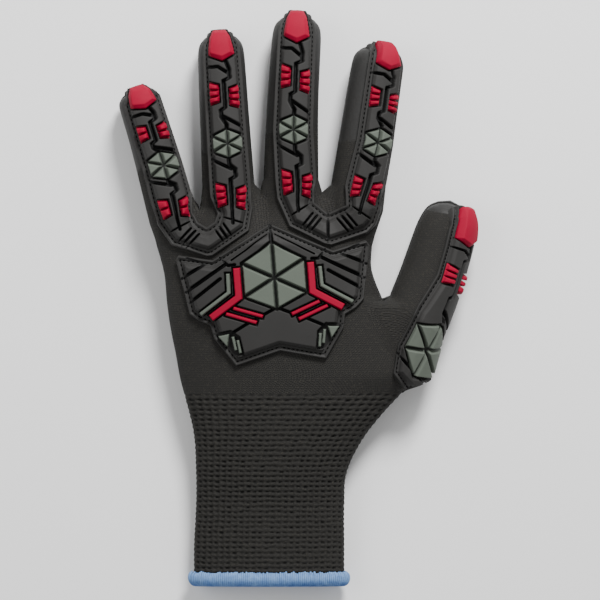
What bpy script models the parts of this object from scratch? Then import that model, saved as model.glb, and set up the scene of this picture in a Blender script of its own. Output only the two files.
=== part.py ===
"""Knitted impact glove for the left hand, lying palm down, back of the hand up.

+X is the thumb's side, +Y the fingers, +Z the back of the hand. The origin is under the middle of the
glove, on the surface that it lies on.
"""

import math
from collections import namedtuple

import bmesh
import bpy
import numpy as np
from mathutils import Matrix, Vector
from mathutils.bvhtree import BVHTree

# Driving dimensions, in metres
GLOVE_LENGTH = 0.265
PALM_WIDTH = 0.100
PALM_THICKNESS = 0.030
FINGER_WIDTH = 0.024
THUMB_WIDTH = 0.025
KNIT_WALL = 0.0013
COATING_THICKNESS = 0.0008
CLEARANCE = 0.0003
HEM_HEIGHT = 0.0064
HEM_THICKNESS = 0.0015

# Black guards, measured over the knit
GUARD_SEAT = 0.0007
FLANGE_THICKNESS = 0.0012
BLOCK_HEIGHT = 0.0040

# The knit's lowest face lies above the surface by the coating under it
KNIT_REST = COATING_THICKNESS + CLEARANCE

# Round the hand: 36 columns, from the little finger's side over the back, and back under the palm
COLUMNS = 36
TURN = 360 / COLUMNS
SQUARENESS = 2.4
PALM_SINK = 0.05

# Rows across the cuff and the palm. Places across are shares of PALM_WIDTH, places along are shares of
# GLOVE_LENGTH, thickness is a share of PALM_THICKNESS.
Row = namedtuple("Row", "name left_x left_y right_x right_y thickness")
ROWS = (
    Row("cuff end", -0.476, 0.006, 0.214, 0.006, 0.62),
    Row("cuff low", -0.476, 0.071, 0.214, 0.071, 0.63),
    Row("cuff middle", -0.467, 0.141, 0.214, 0.141, 0.65),
    Row("wrist", -0.467, 0.201, 0.228, 0.201, 0.72),
    Row("heel", -0.478, 0.267, 0.320, 0.267, 0.79),
    Row("rib line", -0.520, 0.333, 0.485, 0.338, 0.86),
    Row("thumb foot", -0.541, 0.363, 0.594, 0.368, 0.90),
    Row("thumb low", -0.561, 0.406, 0.525, 0.410, 0.94),
    Row("thumb high", -0.584, 0.450, 0.458, 0.451, 0.97),
    Row("thumb web", -0.600, 0.495, 0.393, 0.495, 0.99),
    Row("palm", -0.612, 0.545, 0.338, 0.549, 1.00),
    Row("knuckles", -0.646, 0.592, 0.340, 0.592, 1.00),
)
ROW_NAMES = [row.name for row in ROWS]
RIB_LINE = ROW_NAMES.index("rib line")
THUMB_FOOT = ROW_NAMES.index("thumb foot")
THUMB_WEB = ROW_NAMES.index("thumb web")
THUMB_COLUMNS = (14, 22)

# Fingers. Points on the middle line are shares of PALM_WIDTH, GLOVE_LENGTH and PALM_THICKNESS, widths
# are shares of FINGER_WIDTH, and first is the column of the finger's first vertex on the back.
Finger = namedtuple("Finger", "name first root middle tip root_width middle_width tip_width")
FINGERS = (
    Finger("little", 1, (-0.575, 0.642, 0.53), (-0.672, 0.774, 0.46), (-0.746, 0.860, 0.36), 0.93, 0.85, 0.81),
    Finger("ring", 5, (-0.313, 0.660, 0.55), (-0.336, 0.809, 0.50), (-0.358, 0.958, 0.37), 1.02, 0.95, 0.89),
    Finger("middle", 9, (-0.032, 0.665, 0.55), (-0.023, 0.835, 0.52), (0.002, 0.990, 0.38), 1.08, 0.99, 0.94),
    Finger("index", 13, (0.267, 0.658, 0.54), (0.318, 0.795, 0.49), (0.375, 0.935, 0.38), 1.07, 0.99, 0.95),
)
FINGER_HEIGHT = 0.88
# Stations along a finger: the share of its length and the share of its width there
FINGER_STATIONS = ((0.16, 1.0), (0.36, 1.0), (0.56, 1.0), (0.74, 1.0), (0.88, 0.97), (0.95, 0.80), (0.988, 0.48))
# Crotches between neighbouring fingers, as shares of PALM_WIDTH and GLOVE_LENGTH
CROTCHES = ((-0.449, 0.650), (-0.172, 0.689), (0.113, 0.685))
CROTCH_CORNER = 30

# Stations of the thumb: middle point as shares of PALM_WIDTH, GLOVE_LENGTH and PALM_THICKNESS, heading
# in degrees from +X, width and height as shares of THUMB_WIDTH
Station = namedtuple("Station", "x y z heading width height")
THUMB = (
    Station(0.535, 0.473, 0.50, 52, 1.07, 1.00),
    Station(0.588, 0.524, 0.47, 64, 1.02, 0.94),
    Station(0.634, 0.576, 0.44, 70, 0.98, 0.88),
    Station(0.670, 0.622, 0.41, 75, 0.91, 0.82),
    Station(0.690, 0.650, 0.39, 77, 0.72, 0.66),
    Station(0.699, 0.662, 0.38, 78, 0.40, 0.38),
)
THUMB_TIP = Station(0.703, 0.667, 0.37, 78, 0.0, 0.0)


def place(x, y, z=0.0):
    """A point from shares of the palm's width, the glove's length and the palm's thickness."""
    return Vector((x * PALM_WIDTH, y * GLOVE_LENGTH, z * PALM_THICKNESS))


def spline(values, at):
    """Smooth curve through evenly numbered values, read at a fractional number."""
    first = min(int(at), len(values) - 2)
    rest = at - first
    before = values[max(first - 1, 0)]
    start, end = values[first], values[first + 1]
    after = values[min(first + 2, len(values) - 1)]
    slope_in = (end - before) * 0.5
    slope_out = (after - start) * 0.5
    cubed, squared = rest ** 3, rest ** 2
    return (start * (2 * cubed - 3 * squared + 1) + slope_in * (cubed - 2 * squared + rest)
            + end * (3 * squared - 2 * cubed) + slope_out * (cubed - squared))


def signed_power(value, power):
    return math.copysign(abs(value) ** power, value)


def rest_on_table(point):
    """Cloth flattens where it lies."""
    point.z = max(point.z, KNIT_REST)
    return point


def palm_point(at, column):
    """A point of the knit's outer face on a row, which may be fractional, and a column."""
    left_x, left_y, right_x, right_y, thickness = (
        spline([row[field] for row in ROWS], at) for field in range(1, len(Row._fields)))
    turn = math.radians(180 - TURN * column)
    across = signed_power(math.cos(turn), 2 / SQUARENESS)
    rise = signed_power(math.sin(turn), 2 / SQUARENESS)
    half = thickness * PALM_THICKNESS / 2
    share = (across + 1) / 2
    point = place(left_x + (right_x - left_x) * share, left_y + (right_y - left_y) * share)
    point.z = KNIT_REST + half * (1 - PALM_SINK) + half * rise
    return rest_on_table(point)


def finger_point(finger, share, scale, turn):
    """A point of the knit's outer face on a finger, turn degrees from its right side over the back."""
    rounds = [place(*point) for point in (finger.root, finger.middle, finger.tip)]
    middle = spline(rounds, share * 2)
    ahead = spline(rounds, min(share * 2 + 0.02, 2)) - spline(rounds, max(share * 2 - 0.02, 0))
    heading = math.atan2(ahead.y, ahead.x)
    widths = [finger.root_width, finger.middle_width, finger.tip_width]
    half = spline(widths, share * 2) * FINGER_WIDTH / 2 * scale
    side = Vector((math.sin(heading), -math.cos(heading), 0))
    angle = math.radians(turn)
    point = middle + side * half * math.cos(angle)
    point.z += half * FINGER_HEIGHT * math.sin(angle)
    return rest_on_table(point)


def root_point(number, turn):
    """A point of the ring where a finger meets the palm; neighbours share their crotch."""
    point = finger_point(FINGERS[number], 0, 1, turn)
    for neighbour, crotch, side in ((number + 1, number, 0), (number - 1, number - 1, 180)):
        off = abs((turn - side + 180) % 360 - 180)
        if off > CROTCH_CORNER or not 0 <= crotch < len(CROTCHES):
            continue
        point = (point + finger_point(FINGERS[neighbour], 0, 1, 180 - turn)) / 2
        lowest = place(*CROTCHES[crotch])
        rise = 0.35 + 0.65 * (1 - (off / CROTCH_CORNER) ** 2)
        point.x += (lowest.x - point.x) * rise
        point.y += (lowest.y - point.y) * rise
    return rest_on_table(point)


def thumb_point(station, turn):
    """A point of the thumb's outer face, turn degrees from its web side over the back."""
    heading = math.radians(station.heading)
    web = Vector((-math.sin(heading), math.cos(heading), 0))
    angle = math.radians(turn)
    point = place(station.x, station.y, station.z) + web * station.width * THUMB_WIDTH / 2 * math.cos(angle)
    point.z += station.height * THUMB_WIDTH / 2 * math.sin(angle)
    return rest_on_table(point)


class Skin:
    """The knit's outer face as points and faces, each face with its region and its side."""

    def __init__(self, detail):
        self.detail = detail
        self.points = []
        self.faces = []
        self.regions = []
        self.palm_rows()
        self.fingers()
        self.thumb()
        self.normals = self.point_normals()

    def add(self, point):
        self.points.append(point)
        return len(self.points) - 1

    def face(self, corners, region, palmar):
        """A triangle, or a quad split along its shorter diagonal, the same way in every layer."""
        triangles = [tuple(corners)]
        if len(corners) == 4:
            a, b, c, d = corners
            across = (self.points[a] - self.points[c]).length
            along = (self.points[b] - self.points[d]).length
            triangles = [(a, b, c), (a, c, d)] if across < along else [(a, b, d), (b, c, d)]
        for triangle in triangles:
            self.faces.append(triangle)
            self.regions.append((region, palmar))

    def bridge(self, low, high, regions, closed=True):
        """Quads between two rows of equal length."""
        count = len(low)
        for number in range(count if closed else count - 1):
            after = (number + 1) % count
            region, palmar = regions[number]
            self.face((low[number], low[after], high[after], high[number]), region, palmar)

    def palm_rows(self):
        detail = self.detail
        count = COLUMNS * detail
        last = (len(ROWS) - 1) * detail
        hole_rows = range(THUMB_FOOT * detail + 1, THUMB_WEB * detail)
        hole_columns = range(THUMB_COLUMNS[0] * detail + 1, THUMB_COLUMNS[1] * detail)
        self.rows = []
        for number in range(last + 1):
            row = []
            for column in range(count):
                inside = number in hole_rows and column in hole_columns
                row.append(None if inside else self.add(palm_point(number / detail, column / detail)))
            self.rows.append(row)
        # The cuff and the hand are parted along the rib line
        rib = RIB_LINE * detail
        part = Vector((0, CLEARANCE / 2, 0))
        self.cuff_edge = self.rows[rib]
        hand_edge = [self.add(self.points[index] + part) for index in self.cuff_edge]
        for index in self.cuff_edge:
            self.points[index] = self.points[index] - part
        sides = [column >= (COLUMNS // 2 + 1) * detail and column < (COLUMNS - 1) * detail
                 for column in range(count)]
        for number in range(last):
            low, high = self.rows[number], self.rows[number + 1]
            region = "cuff" if number < rib else "hand"
            if number == rib:
                low = hand_edge
            for column in range(count):
                after = (column + 1) % count
                in_hole = (THUMB_FOOT * detail <= number < THUMB_WEB * detail
                           and THUMB_COLUMNS[0] * detail <= column < THUMB_COLUMNS[1] * detail)
                if not in_hole:
                    self.face((low[column], low[after], high[after], high[column]), region, sides[column])
        self.bridge(self.cuff_edge, hand_edge, [("seam", False)] * count)

    def fingers(self):
        detail = self.detail
        count = COLUMNS * detail
        step = CROTCH_CORNER / detail
        knuckles = self.rows[-1]
        ring = {}
        chains = {}
        for number, finger in enumerate(FINGERS):
            start = finger.first * detail
            for offset in range(4 * detail + 1):
                turn = 150 - step * offset
                for column, angle in ((start + offset, turn), (count - start - offset, -turn)):
                    if column not in ring:
                        ring[column] = self.add(root_point(number, angle))
        for offset in range(-detail + 1, detail):
            ring[offset % count] = self.add(root_point(0, 180 - step * offset))
            ring[count // 2 + offset] = self.add(root_point(len(FINGERS) - 1, -step * offset))
        for crotch in range(len(CROTCHES)):
            chains[crotch] = [self.add(root_point(crotch, CROTCH_CORNER - step * offset))
                              for offset in range(1, 2 * detail)]
        # Rows between the knuckles and the fingers' roots
        low = knuckles
        sides = [("hand", (COLUMNS // 2 + 1) * detail <= column < (COLUMNS - 1) * detail)
                 for column in range(count)]
        for part in range(1, detail + 1):
            if part == detail:
                high = [ring[column] for column in range(count)]
            else:
                high = [self.add(self.points[knuckles[column]].lerp(self.points[ring[column]], part / detail))
                        for column in range(count)]
            self.bridge(low, high, sides)
            low = high
        for number, finger in enumerate(FINGERS):
            self.finger(number, finger, ring, chains)

    def finger(self, number, finger, ring, chains):
        detail = self.detail
        count = COLUMNS * detail
        step = CROTCH_CORNER / detail
        start = finger.first * detail
        around = 12 * detail
        loop = []
        for part in range(around):
            turn = 180 - step * part
            wrapped = (turn + 180) % 360 - 180
            if abs(wrapped) < CROTCH_CORNER and number < len(CROTCHES):
                loop.append(chains[number][round((CROTCH_CORNER - wrapped) / step) - 1])
            elif abs(wrapped) < CROTCH_CORNER:
                loop.append(ring[count // 2 - round(wrapped / step)])
            elif abs(wrapped) > 180 - CROTCH_CORNER and number > 0:
                off = wrapped - 180 if wrapped > 0 else wrapped + 180
                loop.append(chains[number - 1][round((CROTCH_CORNER + off) / step) - 1])
            elif abs(wrapped) > 180 - CROTCH_CORNER:
                off = 180 - wrapped if wrapped > 0 else -180 - wrapped
                loop.append(ring[round(off / step) % count])
            elif wrapped > 0:
                loop.append(ring[start + round((150 - wrapped) / step)])
            else:
                loop.append(ring[count - start - round((150 + wrapped) / step)])
        turns = [180 - step * part for part in range(around)]
        regions = [(finger.name, 7 * detail <= part < 11 * detail) for part in range(around)]
        stations = [Vector(pair) for pair in FINGER_STATIONS]
        first = [finger_point(finger, stations[0].x, stations[0].y, turn) for turn in turns]
        low = loop
        for part in range(1, detail):
            mixed = [self.add(self.points[root].lerp(point, part / detail)) for root, point in zip(loop, first)]
            self.bridge(low, mixed, regions)
            low = mixed
        for part in range((len(stations) - 1) * detail + 1):
            share, scale = spline(stations, part / detail)
            high = [self.add(finger_point(finger, share, scale, turn)) for turn in turns]
            self.bridge(low, high, regions)
            low = high
        tip = self.add(rest_on_table(place(*finger.tip)))
        for part in range(around):
            region, palmar = regions[part]
            self.face((low[part], low[(part + 1) % around], tip), region, palmar)

    def thumb(self):
        detail = self.detail
        first, last = (column * detail for column in THUMB_COLUMNS)
        foot, web = THUMB_FOOT * detail, THUMB_WEB * detail
        loop = [self.rows[web][column] for column in range(first, last + 1)]
        loop += [self.rows[row][last] for row in range(web - 1, foot, -1)]
        loop += [self.rows[foot][column] for column in range(last, first - 1, -1)]
        loop += [self.rows[row][first] for row in range(foot + 1, web)]
        around = len(loop)
        half_span = (THUMB_COLUMNS[1] - THUMB_COLUMNS[0]) / 2 * detail
        turns = [360 / around * (half_span - part) for part in range(around)]
        palmar_start = (COLUMNS // 2 + 1 - THUMB_COLUMNS[0]) * detail
        palmar_end = around - palmar_start - (web - foot)
        regions = [("thumb", palmar_start <= part < palmar_end) for part in range(around)]
        stations = [Vector(station) for station in THUMB]
        near = [thumb_point(THUMB[0], turn) for turn in turns]
        low = loop
        for part in range(1, detail):
            mixed = [self.add(self.points[root].lerp(point, part / detail)) for root, point in zip(loop, near)]
            self.bridge(mixed, low, regions)
            low = mixed
        for part in range((len(stations) - 1) * detail + 1):
            station = Station(*spline(stations, part / detail))
            high = [self.add(thumb_point(station, turn)) for turn in turns]
            self.bridge(high, low, regions)
            low = high
        tip = self.add(rest_on_table(place(THUMB_TIP.x, THUMB_TIP.y, THUMB_TIP.z)))
        for part in range(around):
            region, palmar = regions[part]
            self.face((low[(part + 1) % around], low[part], tip), region, palmar)

    def point_normals(self):
        normals = [Vector() for _ in self.points]
        for corners in self.faces:
            start, middle, end = (self.points[index] for index in corners)
            cross = (middle - start).cross(end - start)
            for index in corners:
                normals[index] = normals[index] + cross
        return [normal.normalized() for normal in normals]


def make_object(name, points, faces, finish):
    """One closed body, its faces pointing out."""
    mesh = bpy.data.meshes.new(name)
    bm = bmesh.new()
    corners = [bm.verts.new(point) for point in points]
    for face in faces:
        bm.faces.new([corners[index] for index in face])
    bmesh.ops.recalc_face_normals(bm, faces=bm.faces[:])
    bm.to_mesh(mesh)
    bm.free()
    part = bpy.data.objects.new(name, mesh)
    bpy.context.collection.objects.link(part)
    part.data.materials.append(finish)
    mesh.shade_smooth()
    mesh.set_sharp_from_angle(angle=math.radians(35))
    return part


def skin_layer(name, skin, chosen, low, high, floor, finish):
    """A wall that follows the chosen faces of the skin between two distances from it."""
    faces = [corners for corners, region in zip(skin.faces, skin.regions) if chosen(*region)]
    used = sorted({index for corners in faces for index in corners})
    number = {index: place_in for place_in, index in enumerate(used)}
    outer = [skin.points[index] + skin.normals[index] * high for index in used]
    inner = [skin.points[index] + skin.normals[index] * low for index in used]
    for point in outer:
        point.z = max(point.z, floor)
    for point in inner:
        point.z = max(point.z, floor + high - low)
    top = [tuple(number[index] for index in corners) for corners in faces]
    size = len(used)
    bottom = [tuple(index + size for index in reversed(corners)) for corners in top]
    edges = {(face[i], face[(i + 1) % len(face)]) for face in top for i in range(len(face))}
    rim = [(b, a, a + size, b + size) for a, b in edges if (b, a) not in edges]
    return make_object(name, outer + inner, top + bottom + rim, finish)


def hem(skin, finish):
    """The overlocked edge: a channel that wraps the end of the cuff."""
    outside = CLEARANCE
    inside = KNIT_WALL + CLEARANCE
    edge = ROWS[0].left_y * GLOVE_LENGTH - CLEARANCE
    section = ((outside, edge), (outside, HEM_HEIGHT), (outside + HEM_THICKNESS, HEM_HEIGHT),
               (outside + HEM_THICKNESS, 0), (-inside - HEM_THICKNESS, 0),
               (-inside - HEM_THICKNESS, HEM_HEIGHT), (-inside, HEM_HEIGHT), (-inside, edge))
    points = []
    for index in skin.rows[0]:
        normal = skin.normals[index]
        flat = Vector((normal.x, 0, normal.z)).normalized()
        for off, along in section:
            point = skin.points[index] + flat * off
            point.y = along
            point.z = max(point.z, 0)
            points.append(point)
    count = len(section)
    around = len(skin.rows[0])
    faces = []
    for ring in range(around):
        for side in range(count):
            corners = (ring * count + side, ring * count + (side + 1) % count)
            after = ((ring + 1) % around - ring) * count
            faces.append((corners[0], corners[1], corners[1] + after, corners[0] + after))
    return make_object("cuff_hem", points, faces, finish)


def finish_of(name, colour, roughness):
    material = bpy.data.materials.new(name)
    material.use_nodes = True
    shader = material.node_tree.nodes["Principled BSDF"]
    shader.inputs["Base Color"].default_value = (*colour, 1)
    shader.inputs["Roughness"].default_value = roughness
    shader.inputs["Metallic"].default_value = 0
    material.diffuse_color = (*colour, 1)
    return material


# Guard of a finger. Its pattern is drawn flat: across in shares of the raised body's half width, along
# in shares of the way from the crease at the finger's root (0) over the hexagon (HEXAGON_AT) to the tip (1).
FLANGE_HALF = 0.0096
BODY_HALF = 0.0062
GROOVE = 0.0010
POCKET_GAP = 0.0005
HEXAGON_AT = 0.40
HEXAGON_HALF_WIDTH = 0.0058
HEXAGON_HALF_HEIGHT = 0.0066
CAP_HEIGHT = 0.0052
RIDGE_HEIGHT = 0.0048
PAD_THICKNESS = 0.0008
CREASE_WIDTH = 1.4 * FLANGE_HALF
CREASE_ROWS = (0.03, 0.12, 0.26, 0.52, 0.68, 0.80, 0.87, 0.91, 0.95)
CREASE_COLUMNS = (-1.25, -0.5, 0.5, 1.25)
FLANGE_TIP = 0.75
FLANGE_CORNER = 0.8
HEXAGON_CUT = 1.5
PLATE_GROOVE = GROOVE * 1.6
INSERT_BASE = FLANGE_THICKNESS + CLEARANCE * 1.4
CAP_BASE = FLANGE_THICKNESS + CLEARANCE * 3.5
RIDGE_BASE = FLANGE_THICKNESS + CLEARANCE * 2.5
CENTRE_GROOVE = ((0.10, 0.86), (0.38, 0.79), (0.38, 0.745), (0.0, 0.73), (0.0, 0.59), (-0.28, 0.575),
                 (-0.28, 0.54), (0.0, 0.50), (0.0, 0.29), (0.32, 0.265), (0.32, 0.225), (0.0, 0.21), (0.0, -0.02))
CROSS_GROOVES = (
    ((-1.15, 0.805), (-0.30, 0.805), (0.38, 0.765)),
    ((-0.20, 0.545), (1.15, 0.475)),
    ((-1.15, 0.325), (0.10, 0.265)),
)
CAP_OUTLINE = ((-1.15, 1.0), (1.15, 1.0), (1.15, 0.86), (1.05, 0.835), (0.10, 0.825), (-0.40, 0.85), (-1.05, 0.85))
CAP_POCKET = ((-1.3, 1.02), (1.3, 1.02), (1.3, 0.83), (0.10, 0.82), (-1.3, 0.845))
# Red ridges: the cluster's two ends along the guard, and its ridges
Cluster = namedtuple("Cluster", "name side start end")
CLUSTERS = (
    Cluster("upper_left", -1, 0.605, 0.725),
    Cluster("upper_right", 1, 0.585, 0.705),
    Cluster("lower_left", -1, 0.065, 0.195),
    Cluster("lower_right", 1, 0.045, 0.175),
)
RIDGES = {"little": 2, "ring": 3, "middle": 3, "index": 3}
RIDGE_INNER = 0.34
RIDGE_OUTER = 1.06
RIDGE_SLANT = 0.012
RIDGE_INSET = 0.0002

# Middle line of each finger's guard seen from above: crease, hexagon and tip, as shares of PALM_WIDTH
# and GLOVE_LENGTH
GUARD_LINES = {
    "little": ((-0.543, 0.625), (-0.618, 0.730), (-0.732, 0.866)),
    "ring": ((-0.297, 0.637), (-0.322, 0.768), (-0.356, 0.966)),
    "middle": ((0.002, 0.658), (-0.020, 0.792), (0.002, 1.000)),
    "index": ((0.288, 0.653), (0.362, 0.770), (0.430, 0.944)),
}
DOME_START = 0.88
DOME_TILT = 48
DOME_BLUNT = 0.8
BLEND_START = 0.002
BLEND_LENGTH = 0.012
ROOM_BESIDE = 0.0122
BLEND_BESIDE = 0.0026
SPAN_RADIUS = 0.004
SPAN_SAMPLES = 8
ROUND_LIFT = 0.5
SKIN_DETAIL = 3


def smoothstep(value):
    value = min(max(value, 0), 1)
    return value * value * (3 - 2 * value)


class Drape:
    """Lays points of a flat pattern on the knit, seen along rays from inside the hand."""

    def __init__(self, coarse, fine):
        self.fine = fine
        self.tree = BVHTree.FromPolygons(fine.points, fine.faces)
        self.coarse_tree = BVHTree.FromPolygons(coarse.points, coarse.faces)

    def lay(self, origin, direction, lean, height):
        """A point over the knit; it stands off along the ray, leaned towards the knit's own normal."""
        direction = direction.normalized()
        spot, _, face, _ = self.tree.ray_cast(origin, direction)
        if spot is None:
            spot, _, face, _ = self.tree.find_nearest(origin)
        normal = self.smooth_normal(face, spot)
        far = max((spot - origin).dot(direction), self.depth(origin, direction))
        around = self.depth_around(origin, direction)
        # Spans hollows evenly, and stands a little higher where the knit is strongly rounded
        lift = max(around - far, min((far - around) * ROUND_LIFT, GUARD_SEAT))
        foot = origin + direction * (far + lift)
        return foot + direction.lerp(normal, lean).normalized() * (GUARD_SEAT + height)

    def depth(self, origin, direction):
        """How far the knit's faces lie along a ray."""
        hits = [tree.ray_cast(origin, direction)[3] for tree in (self.tree, self.coarse_tree)]
        return max((far for far in hits if far is not None), default=0)

    def depth_around(self, origin, direction):
        """Mean depth over a small disc, so that a guard spans the knit's hollows evenly."""
        side = direction.orthogonal().normalized()
        up = direction.cross(side)
        depths = []
        for number in range(SPAN_SAMPLES):
            angle = math.tau * number / SPAN_SAMPLES
            off = (side * math.cos(angle) + up * math.sin(angle)) * SPAN_RADIUS
            depths.append(self.depth(origin + off, direction))
        return sum(depths) / len(depths)

    def smooth_normal(self, face, spot):
        corners = self.fine.faces[face]
        places = [self.fine.points[index] for index in corners]
        areas = [(places[(i + 1) % 3] - spot).cross(places[(i + 2) % 3] - spot).length for i in range(3)]
        normal = Vector()
        for index, area in zip(corners, areas):
            normal += self.fine.normals[index] * area
        return normal.normalized()


class FingerStrip:
    """Flat coordinates of one finger's guard and the rays that its points are laid along."""

    def __init__(self, finger):
        self.finger = finger
        self.line = [place(x, y) for x, y in GUARD_LINES[finger.name]]
        crease, hexagon, tip = self.line
        self.lower = (hexagon - crease).length
        self.upper = (tip - hexagon).length
        self.along = (hexagon - crease).normalized()
        self.across = Vector((self.along.y, -self.along.x, 0))
        self.half = finger.middle_width * FINGER_WIDTH / 2

    def flat(self, across, along):
        """Flat point from shares of the body's half width and of the guard's length."""
        return self.point(across * BODY_HALF, self.far(along))

    def far(self, along):
        if along < HEXAGON_AT:
            return along / HEXAGON_AT * self.lower
        return self.lower + (along - HEXAGON_AT) / (1 - HEXAGON_AT) * self.upper

    def point(self, u, v):
        return self.line[0] + self.across * u + self.along * v

    def local(self, point):
        off = point - self.line[0]
        return off.dot(self.across), off.dot(self.along)

    def ray(self, point):
        """Where the ray for a flat point starts, and which way it goes."""
        u, v = self.local(point)
        crease, hexagon, tip = self.line
        if v < self.lower:
            centre = crease.lerp(hexagon, v / self.lower)
        else:
            centre = hexagon.lerp(tip, (v - self.lower) / self.upper)
        share = self.share_at(centre)
        held = min(max(share, 0), DOME_START)
        rounds = [place(*spot) for spot in (self.finger.root, self.finger.middle, self.finger.tip)]
        origin = spline(rounds, held * 2)
        ahead = (spline(rounds, held * 2 + 0.01) - spline(rounds, held * 2 - 0.01)).normalized()
        side = Vector((ahead.y, -ahead.x, 0)).normalized()
        foot = spline(rounds, min(max(share, 0), 1) * 2)
        roll = math.asin(min(max((centre - foot).dot(side) / self.half, -0.9), 0.9))
        dome = max(share - DOME_START, 0) / (1 - DOME_START)
        origin = origin + side * u * dome * DOME_BLUNT
        turn = roll + u / self.half * (1 - dome * DOME_BLUNT)
        tilt = math.radians(DOME_TILT) * dome
        outward = side * math.sin(turn) + Vector((0, 0, math.cos(turn)))
        direction = outward * math.cos(tilt) + ahead * math.sin(tilt)
        weight = smoothstep((v - BLEND_START) / BLEND_LENGTH) * smoothstep((ROOM_BESIDE - abs(u)) / BLEND_BESIDE)
        plan = Vector((point.x, point.y, PALM_THICKNESS / 2))
        return plan.lerp(origin, weight), Vector((0, 0, 1)).lerp(direction, weight), 0

    def share_at(self, centre):
        rounds = [place(*spot) for spot in (self.finger.root, self.finger.middle, self.finger.tip)]
        low, high = -0.4, 1.05
        for _ in range(24):
            middle = (low + high) / 2
            ahead = spline(rounds, middle * 2 + 0.01) - spline(rounds, middle * 2 - 0.01)
            off = centre - spline(rounds, middle * 2)
            if off.x * ahead.x + off.y * ahead.y > 0:
                low = middle
            else:
                high = middle
        return (low + high) / 2


def solid_between(outline, low, high):
    """Upright prism over a flat outline."""
    bm = bmesh.new()
    face = bm.faces.new([bm.verts.new((point[0], point[1], low)) for point in outline])
    raised = bmesh.ops.extrude_face_region(bm, geom=[face])
    for item in raised["geom"]:
        if isinstance(item, bmesh.types.BMVert):
            item.co.z = high
    bmesh.ops.recalc_face_normals(bm, faces=bm.faces[:])
    mesh = bpy.data.meshes.new("prism")
    bm.to_mesh(mesh)
    bm.free()
    return mesh


def joined(meshes):
    bm = bmesh.new()
    for mesh in meshes:
        bm.from_mesh(mesh)
        bpy.data.meshes.remove(mesh)
    mesh = bpy.data.meshes.new("joined")
    bm.to_mesh(mesh)
    bm.free()
    return mesh


def combined(base, tool, operation):
    """One mesh joined with or cut by another."""
    items = [bpy.data.objects.new("flat", mesh) for mesh in (base, tool)]
    for item in items:
        bpy.context.collection.objects.link(item)
    modifier = items[0].modifiers.new("cut", "BOOLEAN")
    modifier.operation = operation
    modifier.solver = "EXACT"
    modifier.object = items[1]
    depsgraph = bpy.context.evaluated_depsgraph_get()
    result = bpy.data.meshes.new_from_object(items[0].evaluated_get(depsgraph))
    for item in items:
        mesh = item.data
        bpy.data.objects.remove(item)
        bpy.data.meshes.remove(mesh)
    return result


def ribbon(points, width):
    """Outline of a band along a line of flat points, mitred at its corners."""
    count = len(points)
    sides = []
    for number, point in enumerate(points):
        before = (point - points[number - 1]).normalized() if number > 0 else None
        after = (points[number + 1] - point).normalized() if number < count - 1 else None
        before = before or after
        after = after or before
        normal = Vector((-(before.y + after.y), before.x + after.x, 0)).normalized()
        reach = width / 2 / max(normal.dot(Vector((-after.y, after.x, 0))), 0.35)
        sides.append((point + normal * reach, point - normal * reach))
    return [left for left, _ in sides] + [right for _, right in reversed(sides)]


def stretched(points, extra):
    """A line of flat points made longer at both ends."""
    first = (points[0] - points[1]).normalized() * extra
    last = (points[-1] - points[-2]).normalized() * extra
    return [points[0] + first, *points[1:-1], points[-1] + last]


def pocket(points, width):
    """Outline of the pocket that a band lies in."""
    return ribbon(stretched(points, POCKET_GAP), width + 2 * POCKET_GAP)


def grown(outline, distance):
    """A convex outline, given anticlockwise or clockwise, with each edge moved out by a distance."""
    area = sum(a.x * b.y - b.x * a.y for a, b in zip(outline, outline[1:] + outline[:1]))
    out = math.copysign(1, area)
    result = []
    for before, point, after in zip(outline[-1:] + outline[:-1], outline, outline[1:] + outline[:1]):
        first = (point - before).normalized()
        second = (after - point).normalized()
        normals = [Vector((edge.y, -edge.x, 0)) * out for edge in (first, second)]
        middle = (normals[0] + normals[1]).normalized()
        result.append(point + middle * distance / max(middle.dot(normals[0]), 0.4))
    return result


def flat_guard(flange, raised, cutters):
    """Flat flange with raised blocks, the blocks parted by grooves and pockets."""
    through = BLOCK_HEIGHT * 2
    slab = solid_between(raised[0], FLANGE_THICKNESS / 3, BLOCK_HEIGHT)
    for outline in raised[1:]:
        slab = combined(slab, solid_between(outline, FLANGE_THICKNESS / 3, BLOCK_HEIGHT), "UNION")
    for outline in cutters:
        slab = combined(slab, solid_between(outline, -BLOCK_HEIGHT, through), "DIFFERENCE")
    return combined(slab, solid_between(flange, 0, FLANGE_THICKNESS), "UNION")


def flat_part(point):
    return Vector((point.x, point.y, 0))


def crosses(face, point, normal, reach):
    """Whether a face spans a bend line within the line's reach."""
    for edge in face.edges:
        start, end = (flat_part(corner.co) for corner in edge.verts)
        before, after = (start - point).dot(normal), (end - point).dot(normal)
        if before * after < 0 and (start.lerp(end, before / (before - after)) - point).length < reach:
            return True
    return False


def creased(mesh, lines):
    """The mesh with extra edges along flat lines, no farther than their reach, so that it bends there."""
    bm = bmesh.new()
    bm.from_mesh(mesh)
    bpy.data.meshes.remove(mesh)
    for point, normal, reach in lines:
        faces = [face for face in bm.faces if crosses(face, point, normal, reach)]
        edges = dict.fromkeys(edge for face in faces for edge in face.edges)
        corners = dict.fromkeys(corner for face in faces for corner in face.verts)
        bmesh.ops.bisect_plane(bm, geom=[*corners, *edges, *faces], plane_co=point, plane_no=normal,
                               dist=1e-6)
    bmesh.ops.remove_doubles(bm, verts=bm.verts[:], dist=1e-5)
    bmesh.ops.dissolve_degenerate(bm, edges=bm.edges[:], dist=1e-5)
    bmesh.ops.triangulate(bm, faces=bm.faces[:])
    return bm


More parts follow.
